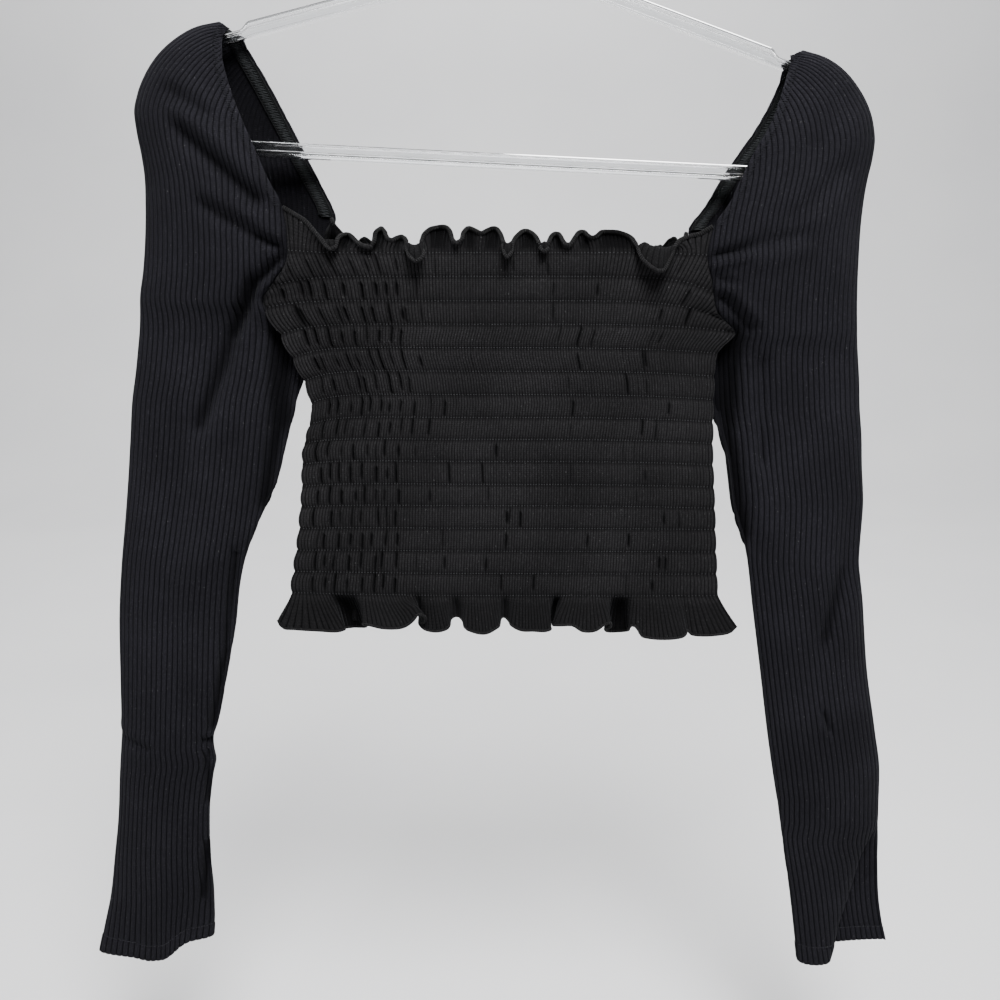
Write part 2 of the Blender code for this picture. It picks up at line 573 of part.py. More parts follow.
for face in ("front", "back"):
    cloth_object(f"{face}_panel", panel_grid(face), top, knit, CLOTH)
for side in SIDES:
    rings = sleeve_rings(side)
    closed_rows = {index for index, (_, closed) in enumerate(rings) if closed}
    cloth_object(f"sleeve_{side}", [points for points, _ in rings], top, knit, CLOTH, closed_rows)
    cloth_object(f"neck_elastic_{side}", elastic_lines(side), top, elastic, ELASTIC)
_, socket_bottom = hanger_frame(top, plastic)
hanger_hook(top, steel, socket_bottom)
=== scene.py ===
"""Visual model of the smocked top on its clear hanger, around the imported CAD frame.

The axes and the origin are the CAD's: +Z up, the front faces -Y, +X is the viewer's right and the
origin is the inside crown of the hanger's hook. Tables and shapes are in millimetres here and are
turned into metres when a mesh is made. The cloth follows the same rings and rows as the CAD, with
its ribs, puffs, gathers, ruffle and flounce as real geometry on a closed thin shell.
"""
import math
from collections import namedtuple

import bpy
import numpy as np
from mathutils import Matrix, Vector


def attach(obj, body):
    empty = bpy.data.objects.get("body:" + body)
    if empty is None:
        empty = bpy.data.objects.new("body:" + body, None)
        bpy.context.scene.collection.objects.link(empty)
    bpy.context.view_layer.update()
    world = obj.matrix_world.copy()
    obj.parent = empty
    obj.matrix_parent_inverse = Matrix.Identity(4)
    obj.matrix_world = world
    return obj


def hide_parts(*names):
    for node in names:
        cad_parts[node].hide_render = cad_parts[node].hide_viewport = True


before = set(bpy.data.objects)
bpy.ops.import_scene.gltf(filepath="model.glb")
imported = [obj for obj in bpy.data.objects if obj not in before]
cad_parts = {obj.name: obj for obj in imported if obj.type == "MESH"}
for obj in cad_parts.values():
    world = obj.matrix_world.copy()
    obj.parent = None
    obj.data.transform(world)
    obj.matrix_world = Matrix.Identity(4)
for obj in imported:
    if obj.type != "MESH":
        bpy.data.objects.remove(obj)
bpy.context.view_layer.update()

MM = 0.001
CLOTH = 1.2                     # wall of the rib knit
SIDES = ("left", "right")
FACES = ("front", "back")


def table(kind, values):
    """A table's rows with named columns."""
    return [kind(*row) for row in values]


# ---------------------------------------------------------------- sleeves: sizes and the CAD's rings
RING_HALF = 44                  # steps over one face of a ring
ROW_STEP = 3.0                  # the most between two mesh rows
SLEEVE_RIB = 3.3                # pitch of the sleeves' ribs
RIB_DEPTH = 1.0
RIB_ROUNDING = 0.16             # how much lower a rib's flanks are than its crest
RIB_SAMPLES = (0.35, 0.455, 0.545, 0.65)    # columns of one sleeve rib; its valley is at 0.5
VALLEY_WIDTH = 0.09             # half width of a valley as a share of the pitch
INSIDE_PAINTED_SHADE = 0.6               # how far the inner side of the cloth is darkened, as painted shade inside the garment
FOLD_PAINTED_SHADE = 0.80                # painted shade: how much darker a deep fold's trough is painted
FOLD_PAINTED_SHADE_DEPTH = (1.5, 6.5)    # that painted shade starts and is full where a fold is this deep
SEAM_DARK = 0.7
TUCK_POWER = 2.0                # how near its inner edge a ring is tucked behind the panels
NECK_CORNER = 3                 # the head ring that stands at the neck corner of the panels
NECK_HEM = 5.6                  # turned and stitched along the sleeve's neck edge
NECK_HEM_RISE = 0.5
CUFF_HEM = 12.0
CUFF_HEM_RISE = 0.4
NECK_HEM_FLAT = 0.45            # how much flatter the ribs are on the neck band and on the cuff's hem
CUFF_HEM_FLAT = 0.15
HEM_STEP = 0.8                  # half width of the step where a turned hem ends
HEM_ROWS = 1.2                  # mesh rows this far above and below the cuff's stitch line
STITCH_LINE_WIDTH = 0.9         # half width of the dents along a hem's stitches and along a seam
CUFF_LINE_DEPTH = 0.45
NECK_LINE_DEPTH = 0.4
SEAM_DEPTH = 0.5
SOFT_HEIGHT = 0.25              # slow waves that keep the cloth from lying quite flat
SoftWave = namedtuple("SoftWave", "length width shift")
SOFT_WAVES = table(SoftWave, [(31, 19, 0.3), (47, 11, 1.7), (23, 37, 4.1)])

TubeRing = namedtuple("TubeRing", "outer_z inner_z outer_x inner_x behind half_depth")
SLEEVE_TUBE = {
    "left": table(TubeRing, [
        (-706, -694, -286, -206.5, 0, 7), (-684, -678, -280.5, -205, 0, 9),
        (-660, -657, -274.5, -204.5, 0, 11), (-630, -630, -269.5, -205.5, 0, 13),
        (-602, -602, -265, -204.5, 0, 14), (-574, -574, -262, -200.5, 0, 14),
        (-561, -561, -260.5, -197.6, 0, 14), (-549, -549, -259, -199.4, 0, 14),
        (-535, -535, -258, -195, 0, 14), (-503, -503, -256.5, -187.5, 0, 13),
        (-466, -466, -254.5, -179.5, 0, 12), (-430, -430, -250.5, -173.5, 1, 12),
        (-400, -400, -246, -162, 2, 11), (-372, -372, -242, -149, 4, 10),
        (-344, -344, -238.5, -141.5, 7, 9.5), (-323, -323, -236, -136, 9, 9),
        (-305, -305, -232.5, -130.5, 12, 8.5), (-290, -290, -230, -131, 12, 8.5),
        (-277, -277, -228, -141.5, 9, 9), (-268.5, -268.5, -227.2, -149, 4.5, 10),
        (-259, -261.5, -226.5, -152.5, 0, 12),
    ]),
    "right": table(TubeRing, [
        (-697, -712, 259.5, 199, 0, 8), (-680, -688, 255, 195.5, 0, 10), (-660, -662, 251.5, 191.5, 0, 12),
        (-632, -632, 249, 186, 0, 13), (-600, -600, 246.5, 180.5, 0, 14), (-569, -569, 245, 174.5, 0, 14),
        (-541, -541, 240, 169.5, 0, 14), (-497, -497, 231.5, 162.5, 0, 14), (-455, -455, 226, 155.5, 0, 13),
        (-421, -421, 221, 150, 0, 12), (-390, -390, 221.5, 140, 2, 11), (-363, -363, 219, 136, 5, 10),
        (-345, -345, 217.5, 131, 8, 9), (-326, -326, 215, 124.5, 11, 8.5),
        (-309, -309, 213.5, 119.5, 12, 8.5), (-297, -297, 212, 121.5, 9.5, 9),
        (-288.5, -288.5, 211, 127.5, 5.5, 10), (-277, -281, 210, 135.7, 0, 12),
    ]),
}
HeadRing = namedtuple("HeadRing", "outer_x outer_z front_x front_z back_x back_z edge_y half_depth")
SLEEVE_HEAD = {
    "left": table(HeadRing, [
        (-223.5, -243, -143.5, -249, -142, -249, 7, 14), (-221, -224, -134.6, -236, -129, -237, 10, 16),
        (-219.5, -206, -133.6, -221, -117, -225, 12, 17.5),
        (-218.8, -190, -136, -206.5, -108.5, -212.5, 13, 18.5),
        (-219.8, -176, -144, -190, -117, -192.5, 14.5, 19),
        (-221.5, -164, -149.5, -175.5, -124.5, -178, 15, 19),
        (-222.3, -153, -155.5, -161, -131, -164.5, 15, 18.5),
        (-219.5, -142, -160.5, -148, -137.5, -151.5, 14, 17),
        (-214, -131, -164.5, -135.5, -143.5, -139.5, 12.5, 15),
        (-206, -120.5, -167, -124.5, -149, -129, 10.5, 12.5),
        (-195, -111.5, -167.5, -116.5, -154, -120.5, 8.5, 10.5),
        (-183, -105.5, -166.5, -110.5, -157.5, -114, 7, 8.8),
        (-170, -103, -163.5, -107, -159.5, -109.5, 5.6, 7.4),
    ]),
    "right": table(HeadRing, [
        (208.8, -261, 122.6, -266.5, 130, -266.5, 7, 14), (208, -241, 118.6, -250.5, 121, -251.5, 10, 16),
        (207.7, -221, 114.6, -234, 113, -236.5, 12, 17.5),
        (208.3, -204, 118, -217.5, 107.5, -220, 13, 18.5),
        (209.8, -190, 126.5, -204, 117.5, -205, 14.5, 19),
        (211.8, -179, 132.5, -190, 126.5, -189.5, 15, 19), (212.6, -169, 140, -174.5, 136, -175, 15, 18.5),
        (210.8, -158.5, 148, -160.5, 145.5, -161, 14, 17),
        (206.5, -147.5, 152.5, -148, 151.5, -150, 12.5, 15),
        (200, -137.5, 155.5, -138.5, 155.5, -141, 10.5, 12.5),
        (191, -128.5, 158, -131, 157.8, -133.5, 8.5, 10.5), (180, -122, 159.5, -126, 158.8, -128, 7, 8.8),
        (167.5, -118.6, 160, -122, 158, -124.5, 5.6, 7.4),
    ]),
}

# Creases of the sleeves: a trough between two places, its depth and half width, and how high a
# ridge stands beside it (ridge_side +1 is on the +X side of the trough, or above a level one).
Fold = namedtuple("Fold", "from_x from_z to_x to_z depth half_width ridge ridge_side")
SLEEVE_FOLDS = {
    ("left", "front"): table(Fold, [
        (-197, -143, -179, -155, 2.6, 4, 1.4, 1), (-192, -164, -152, -201, 5.4, 4.8, 2.4, 1),
        (-180, -206, -151, -223.5, 3.6, 4.2, 2.2, 1), (-151, -223.5, -134.5, -231, 4.6, 3, 2.6, 1),
        (-137, -234, -157, -252, 6.5, 3.4, 3.4, 1), (-157, -252, -171, -281, 9, 4.6, 4.6, 1),
        (-171, -281, -193, -334, 6, 6, 2.8, 1), (-145, -285, -147, -334, 7.4, 8.5, 2.4, -1),
        (-147, -334, -158, -385, 6.5, 5.5, 2, -1), (-205, -340, -214, -420, 2.2, 8, 1, 1),
        (-222, -440, -214, -520, 2, 7, 0.8, 1), (-177, -420, -187, -485, 5, 2.3, 0, 1),
        (-187, -485, -198.5, -538, 6.5, 2.5, 0.6, -1), (-201, -547, -184, -553, 5, 3, 2, 1),
        (-202, -556, -204.5, -590, 5, 2.2, 0.6, -1), (-207, -624, -211, -662, 6, 2.5, 1, -1),
        (-262, -541, -240, -549, 2.4, 3.2, 1.4, 1),
    ]),
    ("left", "back"): table(Fold, [
        (-200, -190, -150, -222, 4.6, 6, 2, 1), (-205, -235, -145, -262, 4.8, 7, 2, 1),
        (-160, -275, -195, -345, 6, 7, 2.2, 1), (-225, -380, -212, -470, 3, 8, 1.4, 1),
        (-235, -540, -205, -556, 3.6, 5, 1.6, 1),
    ]),
    ("right", "front"): table(Fold, [
        (112.5, -236, 140, -229, 4.6, 2.6, 2.8, 1), (140, -229, 168, -222, 2.6, 4.6, 1.8, 1),
        (118.5, -257.5, 127, -259.5, 4.6, 2.4, 2.2, 1), (127, -259.5, 142, -276, 4.8, 3.2, 2.4, 1),
        (119, -246, 130, -250, 2, 2, 1, 1), (134, -289, 133.5, -335, 8.5, 9, 2, 1),
        (133.5, -335, 146, -405, 7.5, 6, 2, 1), (153, -300, 156, -358, 4.4, 4, 2.4, -1),
        (212, -396, 209, -432, 2.6, 7, 1.2, 1), (209, -432, 201, -472, 4.4, 6, 1.8, 1),
        (202, -525, 206.5, -536, 5.2, 1.8, 1.8, -1), (190, -150, 176, -170, 2, 7, 0.9, 1),
        (188, -188, 166, -212, 2.2, 6, 1, 1),
    ]),
    ("right", "back"): table(Fold, [
        (195, -200, 135, -230, 4.6, 6, 2, 1), (192, -248, 134, -272, 4.8, 7, 2, 1),
        (146, -300, 172, -370, 6, 7, 2.2, -1), (196, -420, 188, -500, 3, 8, 1.4, 1),
        (232, -560, 205, -576, 3.6, 5, 1.6, 1),
    ]),
}
FOLD_FADE = 1.6                 # past its ends a crease fades out, in half widths
RIDGE_AWAY = 2.1                # from the trough to its ridge, in half widths
RIDGE_WIDTH = 1.2

# The right cuff is turned: its front layer ends in a slanting fold and the rest lies behind it.
Turn = namedtuple("Turn", "z fold_x")
CUFF_TURN = table(Turn, [
    (-712, 219.5), (-697, 223), (-678, 226), (-664, 230), (-648, 233.5), (-630.5, 237), (-616, 240.5),
    (-602, 244.5),
])
TURN_START_Z = -600.0
TURN_FULL_Z = -636.0
TURN_DEPTH = [(-712.0, 7.0), (-690.0, 8.0), (-660.0, 9.5), (-630.0, 11.5), (-600.0, 13.5)]
MOST_TURN_BACK = 16.0           # the most that the cloth may run back behind the fold
TURN_BEHIND = 2.6               # how far behind the middle that cloth lies
TURN_BULGE = 1.5
TURN_DROP = 0.7                 # share of a ring's slope that the cloth behind the fold takes up
TURN_LEVEL = (10.0, 26.0)       # the back layer is level up to the first distance from its inner edge

# The left cuff's edge isn't straight: its inner third is drawn up.
EdgePoint = namedtuple("EdgePoint", "x z")
LEFT_CUFF_EDGE = table(EdgePoint, [
    (-286, -705), (-262, -706.5), (-249.5, -709), (-240.5, -707), (-233.5, -702), (-226.5, -696.5),
    (-219.5, -694), (-207, -693),
])
DRAWN_HEIGHT = (58.0, 4.0)      # above the cuff, where that begins to show and where it is full
DRAWN_BACK = 0.8                # the back follows it less
CUFF_BULGE_X = -235.0           # where the left cuff's front layer stands forward
CUFF_BULGE = 3.4
CUFF_BULGE_WIDTH = 7.0

# ---------------------------------------------------------------- panels: sizes and the CAD's rows
PANEL_RIBS = 146
PANEL_RIB_SAMPLES = (0.34, 0.5, 0.66)
PANEL_RIB_DEPTH = 0.72
PANEL_RIB_ROUNDING = 0.12
RECESS_PAINTED_SHADE = 0.88              # painted shade: how much darker the ruffle and the flounce are painted deep between their lobes
ROW_PAINTED_SHADE = 0.5                  # painted shade: how much darker the groove along a shirring row is painted
ROW_GROOVE = 0.35
ROW_GROOVE_WIDTH = 0.07         # its half width as a share of a band
FLOUNCE_DARK = 0.36             # and the flounce, which hangs turned down and away from the light
SIDE_SCALLOP = {"left": 1.5, "right": 0.4}  # how far each band stands out at the side seams
PUFF = 0.90                     # a band's mean puff and how much it varies along the band
PUFF_VARIES = 0.30
FREE_RIB_DEPTH = 1.35           # ribs are deeper in the ruffle and the flounce than on a shirring row
LAST_ROW = 16                   # the shirring rows are 1 to 16, the neck edge is 0 and the hem is 17
BAND_STEPS = 6                  # mesh rows between two shirring rows
RUFFLE_STEPS = 9
FLOUNCE_STEPS = 13

# How far a rib near the armhole leans for each millimetre of height, and where along the half
# panel that starts and is full, counted from the middle.
Slant = namedtuple("Slant", "lean starts full")
SEAM_SLANT = {"left": Slant(0.48, 0.25, 0.80), "right": Slant(0.62, 0.30, 0.95)}
LEAN_POWER = 1.6                # the lean grows towards the neck
FLARE_POWER = {"left": 2.4, "right": 5.0}   # how near the side edge the ribs that spread out are

ShirringRow = namedtuple("ShirringRow", "left_z mid_z right_z")
FRONT_ROWS = table(ShirringRow, [
    (-230.9, -232.7, -233.9), (-253.2, -246.3, -255.8), (-265.4, -260.6, -272.6), (-281.1, -274.4, -279.5),
    (-295.1, -288.4, -292.7), (-309.3, -302.5, -306.8), (-322.9, -316.7, -321.2), (-336.5, -330.7, -335.2),
    (-348.4, -344.2, -348.7), (-361.9, -357.9, -362.4), (-376.1, -372.3, -376.6), (-389.5, -385.8, -390.3),
    (-403.7, -400.2, -404.2), (-417.9, -414.9, -418.9), (-431.8, -429.5, -433.5), (-446, -443.9, -448),
])
BACK_ROWS = table(ShirringRow, [
    (-223.5, -241, -231.5), (-237.5, -253, -246), (-252.5, -265.5, -262), (-267.5, -278.5, -279),
])
BACK_LAST = ShirringRow(-446, -444, -448)
BACK_EVEN = 12                  # the rows from the fourth to the last are evenly spaced
BACK_ROWS += [ShirringRow(*(a + (b - a) * step / BACK_EVEN for a, b in zip(BACK_ROWS[3], BACK_LAST)))
              for step in range(1, BACK_EVEN + 1)]
ROWS = {"front": FRONT_ROWS, "back": BACK_ROWS}
NECK_ENDS = {"front": ShirringRow(-206.5, -218.5, -217.5), "back": ShirringRow(-212.5, -231, -220)}
HEM_ENDS = ShirringRow(-470, -469, -477)
# A row stays straight and bends down near its end. The power says how late, by row.
ROW_BEND = {("front", "left"): [(0.0, 5.0), (1.0, 8.0), (8.0, 8.0), (12.0, 4.0), (17.0, 3.0)],
            ("front", "right"): [(0.0, 4.0), (1.5, 8.0), (3.0, 6.0), (4.2, 3.0), (17.0, 2.0)],
            ("back", "left"): [(0.0, 4.5), (17.0, 3.0)], ("back", "right"): [(0.0, 4.5), (17.0, 3.0)]}

SideStation = namedtuple("SideStation", "z x")
SIDE_EDGE = {
    "left": table(SideStation, [
        (-261.5, -152.5), (-269.5, -149), (-282, -141.5), (-299.5, -133), (-313.5, -126.5), (-328, -123.3),
        (-342, -126.8), (-354, -130.4), (-381, -132), (-407, -135.2), (-435, -140), (-446, -142),
        (-470, -152),
    ]),
    "right": table(SideStation, [
        (-281, 135.7), (-289, 127.1), (-297, 123.8), (-322, 123.6), (-354, 124.6), (-385, 127.1),
        (-411, 129), (-446, 131.5), (-477, 144.5),
    ]),
}
UNDERARM_Z = {"left": -261.5, "right": -281.0}
EDGE_Y = 0.75                   # the panels' side edges from the garment's middle plane
PANEL_DEPTH = [(0.0, 17.0), (1.0, 16.5), (2.0, 15.5), (3.0, 14.5), (5.0, 13.8), (8.0, 13.5), (17.0, 14.0)]
BULGE_POWER = 2.4

# One station of a free edge: where the edge is, how far it stands forward of the row that it hangs
# on, and the place on that row that it grew from.
Rim = namedtuple("Rim", "x z forward root_x")
NECK_RIM = table(Rim, [
    (-136, -206.5, 0, -134), (-129, -210.5, 1, -129.5), (-122.5, -214.5, 2, -125),
    (-117.5, -220, 3, -120.5), (-113.5, -224.5, 4, -117), (-109.5, -229, 5.5, -113.5),
    (-106.5, -230.5, 6.5, -110.5), (-104, -228.5, 5, -108), (-103.5, -224.5, 2, -106),
    (-101.5, -222.5, -1, -103.5), (-98.5, -222, -3, -100.5), (-95.5, -223.5, -1, -97.5),
    (-91.5, -227, 2, -94), (-87, -229, 3.5, -90), (-83.5, -229, 3.5, -86.5), (-82, -225.5, 1.5, -84.5),
    (-81.5, -221, -1, -82.5), (-79.5, -218.5, -3.5, -81), (-76.5, -220, -2, -78.5), (-74.5, -224, 0.5, -76),
    (-71.5, -225.5, 1, -73), (-68.5, -224, -1, -70), (-65.5, -223.5, -1.5, -67.5), (-63, -226, 1, -65.5),
    (-62.5, -230.5, 5, -63.5), (-60, -235.5, 8, -61), (-56, -237.5, 9.5, -58.5), (-53, -234.5, 8, -56.5),
    (-53.5, -229.5, 4.5, -54), (-54, -225, 2, -52), (-50.5, -220, -0.5, -49.5), (-45, -218, -3, -46),
    (-40, -218, -2.5, -41.5), (-37, -221, 0, -38), (-36, -225, 2, -36), (-33.5, -227, 3.5, -33.5),
    (-30.5, -225, 2, -31.5), (-29.5, -221, -0.5, -29.5), (-27, -218.5, -2.5, -27),
    (-23.5, -219.5, -1.5, -24), (-19, -221.5, 0, -19.5), (-15, -219.5, -2, -15.5),
    (-11.5, -218.5, -2.5, -12.5), (-8.5, -220.5, -1, -9.5), (-6.5, -225, 2, -7.5), (-6, -230, 5.5, -6),
    (-4.5, -235, 8.5, -4), (-1.5, -232, 6, -1.5), (-0.5, -226.5, 2.5, 0.5), (3, -222, -1, 3.5),
    (6.5, -220, -3, 7), (11, -221.5, -2, 11), (14, -225, 0.5, 14), (15.5, -229.5, 4, 16.5),
    (18, -232, 6, 19), (20, -229, 3.5, 21), (21, -225, 0.5, 22.5), (23.5, -222, -2.5, 24.5),
    (27, -222, -3, 27), (28.5, -225, 0, 29.5), (30, -227.5, 2, 31.5), (33, -228, 2.5, 34),
    (35.5, -224.5, 0.5, 37), (38.5, -221, -2.5, 40), (42.5, -221, -3, 43.5), (44.5, -223.5, -1, 46),
    (48.5, -223.5, -1, 50), (51.5, -221, -2.5, 53), (57, -220.5, -3, 58), (62.5, -221, -2.5, 63.5),
    (68.5, -223.5, -1, 69), (71, -226.5, 1.5, 73.5), (73, -231, 4.5, 77), (75, -236, 7.5, 80.5),
    (79, -240, 9.5, 84), (84, -243, 10.5, 87.5), (88, -242, 9.5, 91), (90.5, -237.5, 7.5, 94.5),
    (93, -233, 5, 97.5), (95.5, -228, 3, 100.5), (99.5, -224.5, 1.5, 104), (104.5, -223, 1, 106.5),
    (110.5, -221.5, 0.5, 110.5), (117.5, -217.5, 0, 114.5),
])
HEM_RIM = table(Rim, [
    (-152, -464.5, 0, -142), (-149.5, -469, 2.5, -140), (-140, -469.5, 5.5, -136), (-124, -469, 8, -130),
    (-112, -468.5, 8, -123.5), (-107.5, -467.5, 5, -119.5), (-109.5, -468.5, -1, -116.5),
    (-108.5, -470.5, -6, -113.5), (-103, -471, -8.5, -108.5), (-96.5, -470, -6.5, -103.5),
    (-94, -466.5, -1.5, -99.5), (-95.5, -463, 3.5, -96.5), (-90, -462.5, 7, -93), (-82, -463.5, 8.5, -88),
    (-70, -462.5, 9.5, -80.5), (-63, -458, 10, -74), (-59, -453.5, 9.5, -70), (-55, -456.5, 6.5, -66.5),
    (-56.5, -462, 1, -63), (-60, -465, -4, -60), (-56, -466.5, 0.5, -56.5), (-48, -466, 5, -51),
    (-42, -464, 6, -46.5), (-40, -462, 4, -42.5), (-39.5, -459.5, 0, -39.5), (-35.5, -459, -3, -36),
    (-31.5, -460.5, 0, -32), (-30, -464, 3.5, -29), (-24.5, -465.5, 6.5, -25.5), (-17, -466, 7.5, -19.5),
    (-11, -463.5, 6, -14), (-8.5, -462, 3.5, -10), (-8, -459.5, 0, -8), (-5, -459.5, -3, -4.5),
    (-2, -461, 0, -1.5), (-1, -462, 3.5, 1), (4.5, -464, 6.5, 5), (13.5, -464, 8, 12.5),
    (20, -464.5, 7.5, 18), (24, -464, 5, 22.5), (22.5, -464.5, -1, 25), (23, -465.5, -6.5, 27.5),
    (26.5, -464.5, -4.5, 30), (25.5, -463, 1.5, 32.5), (30, -461.5, 6, 35.5), (37.5, -461, 7.5, 40.5),
    (44, -464.5, 8.5, 45.5), (52, -464, 9, 50.5), (57.5, -460.5, 8.5, 54.5), (61.5, -460, 7, 57.5),
    (62, -464, 3.5, 60), (59.5, -468, -2, 62.5), (61.5, -472, -6.5, 65), (68.5, -473, -8, 69),
    (75, -471, -5.5, 72.5), (74.5, -467, -0.5, 75.5), (76.5, -463.5, 3.5, 78), (79.5, -465.5, 5, 80),
    (81.5, -469.5, 5.5, 82), (87, -471, 7, 86), (96, -471.5, 8.5, 92.5), (106, -471, 9, 99.5),
    (110.5, -470, 7, 105.5), (112, -468.5, 3.5, 108.5), (114.5, -471, 5, 111), (122, -472, 7, 115.5),
    (132, -472.5, 6, 121), (141, -472, 3, 127.5), (145, -469, 0, 131.5),
])
# The back's free edges aren't in the photo. Their flutes are drawn at random between two ends of a
# row. up is +1 for the ruffle and -1 for the flounce, and spread is how far the ends fan out.
BackEdge = namedtuple("BackEdge", "row_z left right seed reach up spread")
BACK_EDGE = {"neck": BackEdge(-241.0, -115.8, 111.2, 5, 12.0, 1.0, -5.0),
             "hem": BackEdge(-444.0, -142.0, 131.5, 9, 24.0, -1.0, 9.0)}
# How the cloth leaves its shirring row and arrives at its free edge: sideways with the fan of the
# edge, and forward or back as shares of how far the edge stands ahead of the row or behind it.
Tangent = namedtuple("Tangent", "fan ahead behind")
LEAVE = {"neck": Tangent(0.0, 0.0, 2.6), "hem": Tangent(0.8, 1.6, 3.2)}
ARRIVE = {"neck": Tangent(0.4, 0.7, -1.2), "hem": Tangent(1.1, 1.4, -0.6)}
RUFFLE_RISE = 15.0              # how steeply the ruffle leaves its row
RUFFLE_LEAN = 0.7               # and how much more where it stands forward
RUFFLE_TOP = 14.0               # how steeply it ends, and how far its forward lobes curl down
RUFFLE_CURL = 26.0
FLOUNCE_DROP = 22.0
AHEAD_SHARE = 1.15              # lobes stand ahead by a little more than the tables say
BEHIND_SHARE = {"neck": 2.3, "hem": 1.6}    # and the recesses between them lie further back
RECESS = {"neck": (2.0, -5.0), "hem": (1.0, -9.0)}      # forward places where a recess, and its painted shade, starts and is full
CURL_AHEAD = (1.0, 8.0)         # a ruffle's lobe starts to curl and is quite curled this far forward

# The back's flutes: distances between them, and how far they stand forward and lie back.
FLUTE_PITCH = (5.0, 9.5)
FLUTE_AHEAD = (5.0, 8.0)
FLUTE_BEHIND = (1.5, 3.0)
FLUTE_CURLED = (0.35, 0.75)     # the shares of the edge's reach that a forward flute of the ruffle lacks
FLUTE_PLAIN = (0.0, 0.14)       # and that any other flute lacks
FLUTES_STOP = 6.0               # before the right end of the edge
HEM_FLUTES = 0.8                # the hem's flutes stand out less

# The deep gathers. Places are shares of the panel's width, and rows in a band run from 0 to 1.
DENSE_START = 0.040             # the front's dense gathers start here, near its left edge
DENSE_PITCH = 0.0265
DENSE_JITTER = 0.008
DENSE_STOP = 0.26
LOOSE_GATHERS = (0.26, 0.90, 3)             # the range of the others and how many there are
RIGHT_GATHERS = (0.80, 0.93)
RIGHT_PAIRS = (3, 4, 5, 12, 14)             # the bands with two gathers in that range and not one
BACK_GATHERS = (0.05, 0.95, 13)
DENSE_DEPTH = (1.7, 3.6)
LOOSE_DEPTH = (0.8, 2.6)
FIRST_BAND = 0.45               # share of that depth in the first band
GATHER_WIDTH = (0.13, 0.27)     # half width in ribs
GATHER_BOW = (-0.16, 0.16)      # how far a gather leans sideways, in ribs
GATHER_STARTS = (0.0, 0.30)
GATHER_STOPS = (0.74, 1.0)
GATHER_FADE = 0.12
LIP = 0.3                       # height of the two lips beside a gather, their place and their width,
LIP_AWAY = 2.6                  # both in half widths of the gather
LIP_WIDTH = 1.2
RIPPLE = 0.5                    # the small waves along a band
RIB_UNEVEN = 0.16               # how unevenly high the ribs are
BAND_HEIGHT = 14.0              # a band's usual height, which sets the size of its stitches
SLOT_PAINTED_SHADE_DEPTH = 1.1           # painted shade: a gather this deep is painted as dark as a valley


# ---------------------------------------------------------------- curves and meshes
def hermite(t, start, leave, stop, arrive):
    """A cubic from start to stop that leaves and arrives along the given directions."""
    return ((1 + 2 * t) * (1 - t) ** 2 * start + t * (1 - t) ** 2 * leave
            + t * t * (3 - 2 * t) * stop + t * t * (t - 1) * arrive)


def smooth(knots, values, at, round_turns=False):
    """Cubic interpolation of rows of values. It never overshoots, unless round_turns is set."""
    knots, values, at = (np.asarray(a, float) for a in (knots, values, at))
    wide = (-1,) + (1,) * (values.ndim - 1)
    rise = np.diff(values, axis=0) / np.diff(knots).reshape(wide)
    before, after = rise[:-1], rise[1:]
    slopes = np.concatenate([rise[:1], (before + after) / 2, rise[-1:]])
    if not round_turns:
        alike = before * after > 0
        total = np.where(alike, before + after, 1.0)
        slopes[1:-1] = np.where(alike, 2 * before * after / total, 0.0)
    index = np.clip(np.searchsorted(knots, at, side="right") - 1, 0, len(knots) - 2)
    span = (knots[index + 1] - knots[index]).reshape(wide)
    t = ((at - knots[index]).reshape(wide)) / span
    return hermite(t, values[index], span * slopes[index], values[index + 1], span * slopes[index + 1])


def ease(low, high, value):
    """0 below low, 1 above high and a smooth step between them."""
    t = np.clip((np.asarray(value, float) - low) / (high - low), 0.0, 1.0)
    return t * t * (3 - 2 * t)


def bell(value):
    """1 at 0, falling to almost nothing at 2 on either side."""
    return np.exp(-value ** 2)


def unit(vectors):
    return vectors / np.maximum(np.linalg.norm(vectors, axis=-1, keepdims=True), 1e-9)


def grid_normals(points):
    """Normals of a grid of points from its neighbours."""
    return unit(np.cross(np.gradient(points, axis=1), np.gradient(points, axis=0)))


def lengths_along(line):
    """How far along a line each of its points is."""
    return np.concatenate([[0.0], np.cumsum(np.linalg.norm(np.diff(line, axis=0), axis=1))])


def along_line(places, lengths, points):
    """Points, or other vectors, at some places along a line whose own points are at the lengths."""
    return np.stack([np.interp(places, lengths, points[:, axis]) for axis in range(points.shape[1])], -1)


def even_steps(line, count):
    """A line again with its points at even distances, and its length."""
    lengths = lengths_along(line)
    return along_line(np.linspace(0.0, lengths[-1], count), lengths, line), lengths[-1]


def wave_noise(count, seed, *, waves=24, longest=1.0, shortest=0.05):
    """A smooth random line with values of about -1 to 1."""
    draw = np.random.default_rng(seed)
    place = np.linspace(0.0, 1.0, count)
    lengths = np.exp(draw.uniform(math.log(shortest), math.log(longest), waves))
    line = sum(math.sqrt(length) * np.sin(2 * math.pi * (place / length + draw.uniform()))
               for length in lengths)
    return line / np.abs(line).max()


def darken(*shares):
    """Several shares of darkness, one over the other."""
    light = 1.0
    for share in shares:
        light = light * (1 - share)
    return 1 - light


def mesh_object(name, points, faces, look, knit=None, smooth_shading=True):
    """A mesh piece from millimetre points. knit is a vector for each point that materials read."""
    mesh = bpy.data.meshes.new(name)
    mesh.from_pydata((np.asarray(points) * MM).tolist(), [], faces)
    if knit is not None:
        stored = mesh.attributes.new("knit", "FLOAT_VECTOR", "POINT")
        stored.data.foreach_set("vector", np.asarray(knit, np.float32).ravel())
    if smooth_shading:
        mesh.shade_smooth()
    mesh.materials.append(look)
    piece = bpy.data.objects.new(name, mesh)
    bpy.context.scene.collection.objects.link(piece)
    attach(piece, "root")
    return piece


